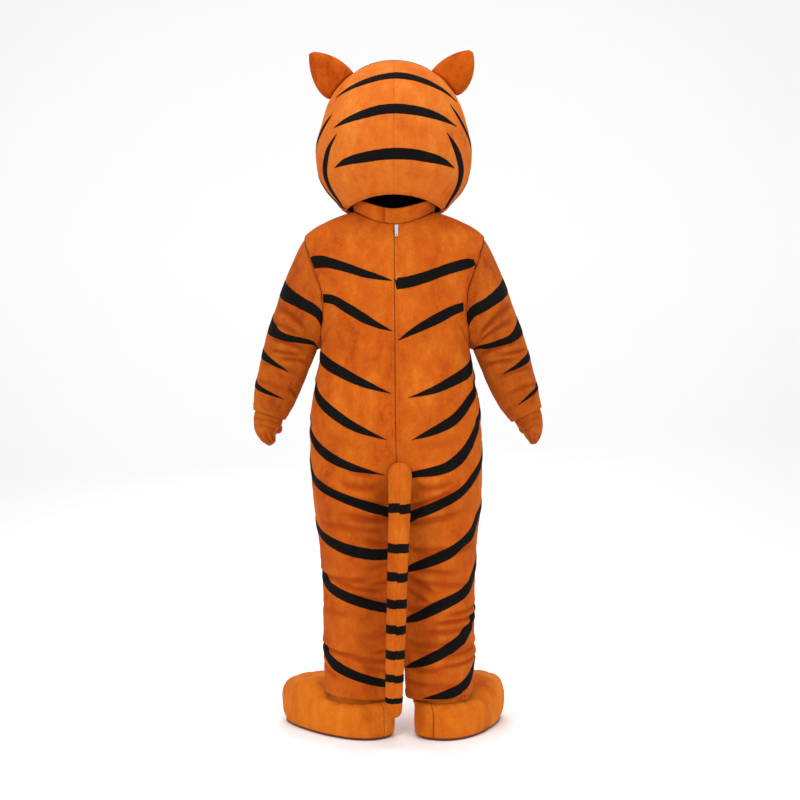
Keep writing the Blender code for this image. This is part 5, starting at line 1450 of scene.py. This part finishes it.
def tail_band(place, seed):
    """A tube round the tail whose two halves are out of line by a millimetre or two."""
    half = BAND_HALF / 0.75
    share = np.concatenate([TOP, UNDER])
    height = np.concatenate([BAND_LIFT * PILE_SHAPE, np.full(len(UNDER), UNDER_LIFT)])
    turn = 2 * math.pi * np.arange(97) / 96 + TAIL_SEAM
    shift = 0.0026 * np.sign(np.sin(turn - TAIL_SEAM)) * bell(np.abs(np.sin((turn - TAIL_SEAM) / 2)), 0.35)
    shift = shift * (1 if seed % 2 else -0.5) + 0.0008 * lumps(3 * np.cos(turn), 3 * np.sin(turn), seed)
    waver = 1 + 0.05 * lumps(6 * np.cos(turn)[:, None],
                             6 * np.sin(turn)[:, None] + 4 * share[None, :], seed + 0.5)
    u = place + shift[:, None] + half * share[None, :] * waver
    v = turn[:, None] + 0 * u
    wrapped = np.mod(v, 2 * math.pi)
    relief, _ = tail_relief(u, wrapped)
    return settled(raised(tail_form, u, v, relief + height[None, :]))


for number, place in enumerate(band_places, start=1):
    piece(f"tail_band_{number}_plush", [tail_band(place, number)], BLACK, f"tail_band_{number}",
          wrap=True, closed=True)
print("tail", tail.shape)

# %% [markdown]
# ## The zip
# Up the centre of the back runs a concealed zip: each side's cloth is turned back in a narrow fold,
# and the coil lies in the gap between the two, on a narrow tape that closes the gap from behind.
# The coil is one small eyelet repeated down the line; the placket folds are two long narrow strips.

# %% Placket folds and coil
ZIP_TOP = 1.455
ZIP_FOOT = 0.800
PLACKET_WIDE = 0.0075
PLACKET_LIFT = 0.0014


def placket(side_name, side):
    """A strip beside the centre line: a low round fold, from the collar to the zip's foot."""
    level = np.linspace(ZIP_FOOT, ZIP_TOP, 220)
    share = np.concatenate([TOP, UNDER])
    middle = 0.0004 + PLACKET_WIDE / 2
    off = (middle + PLACKET_WIDE / 2 * share * 0.98) / SPREAD
    fade = smooth((level - ZIP_FOOT) / 0.05)
    lift = PLACKET_LIFT * (0.35 + 0.65 * fade) + 0.0004 * lumps(level * 90, level * 11, 3.0 + side)
    round_top = np.sqrt(np.clip(1 - TOP ** 2, 0.02, 1))
    section = np.concatenate([round_top, 0.0 * UNDER])
    height = section[None, :] * lift[:, None] + UNDER_LIFT
    level_grid, off_grid = np.meshgrid(level, off, indexing="ij")
    return suit_skin(level_grid, off_grid, side_name, side, height)


for side_name, side in SIDES:
    piece(f"zip_placket_{side_name}", [placket(side_name, side)], ORANGE, wrap=True,
          closed=True, shade=np.broadcast_to(0.3 * np.concatenate([1 - PILE_SHAPE, 1 + 0 * UNDER]),
                                             (220, len(TOP) + len(UNDER))).copy())

COIL_PITCH = 0.0022
COIL_WIDE = 0.0012
TAPE_FOOT = 0.700       # the tape runs on behind the root of the tail
count = int((ZIP_TOP - ZIP_FOOT) / COIL_PITCH)
level = ZIP_FOOT + COIL_PITCH * np.arange(count)
centre = placed(suit_form(level, np.zeros(count)), 1)
centre[:, 0] = np.interp(level, *zip(*LEAN))
ring_turn = 2 * math.pi * np.arange(7) / 7
arc = np.linspace(0, math.pi, 6)
tooth = np.stack([np.stack([COIL_WIDE * np.cos(a) + 0 * ring_turn,
                            0.0009 * math.sin(a) + 0.0004 * np.cos(ring_turn),
                            0.0005 * np.sin(ring_turn)], axis=-1) for a in arc])
piece("zip_coil", [tooth + place - (0, 0.0022, 0) for place in centre], TEETH,
      wrap=True, closed=True)
tape_level = np.linspace(TAPE_FOOT, ZIP_TOP, 60)
tape_middle = placed(suit_form(tape_level, np.zeros(60)), 1)
tape_middle[:, 0] = np.interp(tape_level, *zip(*LEAN))
TAPE_CORNERS = np.array(((-0.006, -0.0040, 0.0), (0.006, -0.0040, 0.0),
                         (0.006, -0.0048, 0.0), (-0.006, -0.0048, 0.0)))
piece("zip_tape", [tape_middle[:, None] + TAPE_CORNERS], TAPE, wrap=True, closed=True)
print("zip coil loops", count)

# %% [markdown]
# ## Slider and pull tab
# The slider is a small pressed body with a bridge; the pull tab hangs from the bridge and swings
# outwards on it. The tab is the only part of the costume that turns.
# Both are fully modelled in the frame already, so its own two parts are shown in bright metal.

# %% The slider and the tab
for node in ("zip_slider", "zip_pull"):
    metal_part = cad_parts[node]
    for slot_number in range(len(metal_part.material_slots)):
        metal_part.material_slots[slot_number].material = METAL

# %% [markdown]
# ## A loop that keeps nothing
# A worn garment has no single flat sheet. The loop below only looks up the head's stripes, for one
# panel, and keeps nothing.

# %% Look up the head's stripes
for side_name, side in SIDES:
    for face in ("back", "front"):
        [made["head_stripes"]] if (face, side_name) == ("back", "left") else []

# %% [markdown]
# ## Floor, light and camera
# A pale sweep stands for the studio: floor, curve and wall in one sheet. Four wide soft lights and
# a bright sky keep the shadows faint. The camera looks level from behind, at the height of the hips.

# %% The studio
SWEEP_HALF = 9.0
sweep_run = np.concatenate([np.stack([np.linspace(9.0, -4.0, 20), np.zeros(20)], axis=-1),
                            np.stack([-4.0 - 2.0 * np.sin(np.linspace(0.1, math.pi / 2, 16)),
                                      2.0 - 2.0 * np.cos(np.linspace(0.1, math.pi / 2, 16))], axis=-1),
                            np.stack([np.full(8, -6.0), np.linspace(2.4, 8.0, 8)], axis=-1)])
sweep = np.stack([np.stack([np.full(len(sweep_run), x), sweep_run[:, 0],
                            sweep_run[:, 1] - NECK_HEIGHT], axis=-1)
                  for x in (-SWEEP_HALF, SWEEP_HALF)], axis=1)
sweep_mesh = bpy.data.meshes.new("studio_sweep")
sweep_mesh.from_pydata(sweep.reshape(-1, 3).tolist(), [], grid_quads(len(sweep_run), 2, False, 0))
sweep_mesh.shade_smooth()
floor = bpy.data.objects.new("studio_sweep", sweep_mesh)
bpy.context.scene.collection.objects.link(floor)
PAPER = Recipe("studio paper", Roughness=0.9, Specular_IOR_Level=0.1, Base_Color=colour(250, 250, 250))
sweep_mesh.materials.append(PAPER.material)

sky = bpy.data.worlds.new("studio sky")
sky.use_nodes = True
sky.node_tree.nodes["Background"].inputs["Color"].default_value = (1.0, 1.0, 1.0, 1.0)
sky.node_tree.nodes["Background"].inputs["Strength"].default_value = 0.75
bpy.context.scene.world = sky
bpy.context.scene.view_settings.view_transform = "Standard"

LIGHTS = (              # name, place, aimed at, size, watts
    ("key softbox", (2.6, 4.2, 1.9), (0, 0, -0.3), 2.4, 95.0),
    ("fill softbox", (-3.2, 3.6, 0.9), (0, 0, -0.5), 2.6, 50.0),
    ("top softbox", (0.0, 0.6, 3.2), (0, 0, -0.4), 2.8, 70.0),
    ("front softbox", (0.4, -4.2, 1.6), (0, 0, -0.4), 2.6, 70.0),
)
for name, place, aim, size, watts in LIGHTS:
    lamp = bpy.data.lights.new(name, "AREA")
    lamp.shape = "DISK"
    lamp.size = size
    lamp.energy = watts
    light = bpy.data.objects.new(name, lamp)
    light.location = place
    light.rotation_euler = (Vector(aim) - Vector(place)).to_track_quat("-Z", "Y").to_euler()
    bpy.context.scene.collection.objects.link(light)

CAMERA_PLACE = (-0.0115, 4.0, -0.519)
LENS_MM = 62.7
SENSOR_MM = 36.0
lens = bpy.data.cameras.new("camera")
lens.lens = LENS_MM
lens.sensor_width = SENSOR_MM
camera = bpy.data.objects.new("camera", lens)
camera.location = CAMERA_PLACE
camera.rotation_euler = (math.pi / 2, 0.0, math.pi)
bpy.context.scene.collection.objects.link(camera)
bpy.context.scene.camera = camera

# %% Sizes
LARGE_PIECE = 60000     # triangles from which a piece is named in the printed list
triangles = 0
graph = bpy.context.evaluated_depsgraph_get()
for thing in made.values():
    shown = thing.evaluated_get(graph)
    count = sum(len(face.vertices) - 2 for face in shown.data.polygons)
    triangles += count
    if count > LARGE_PIECE:
        print(thing.name, count)
print("triangles", triangles)
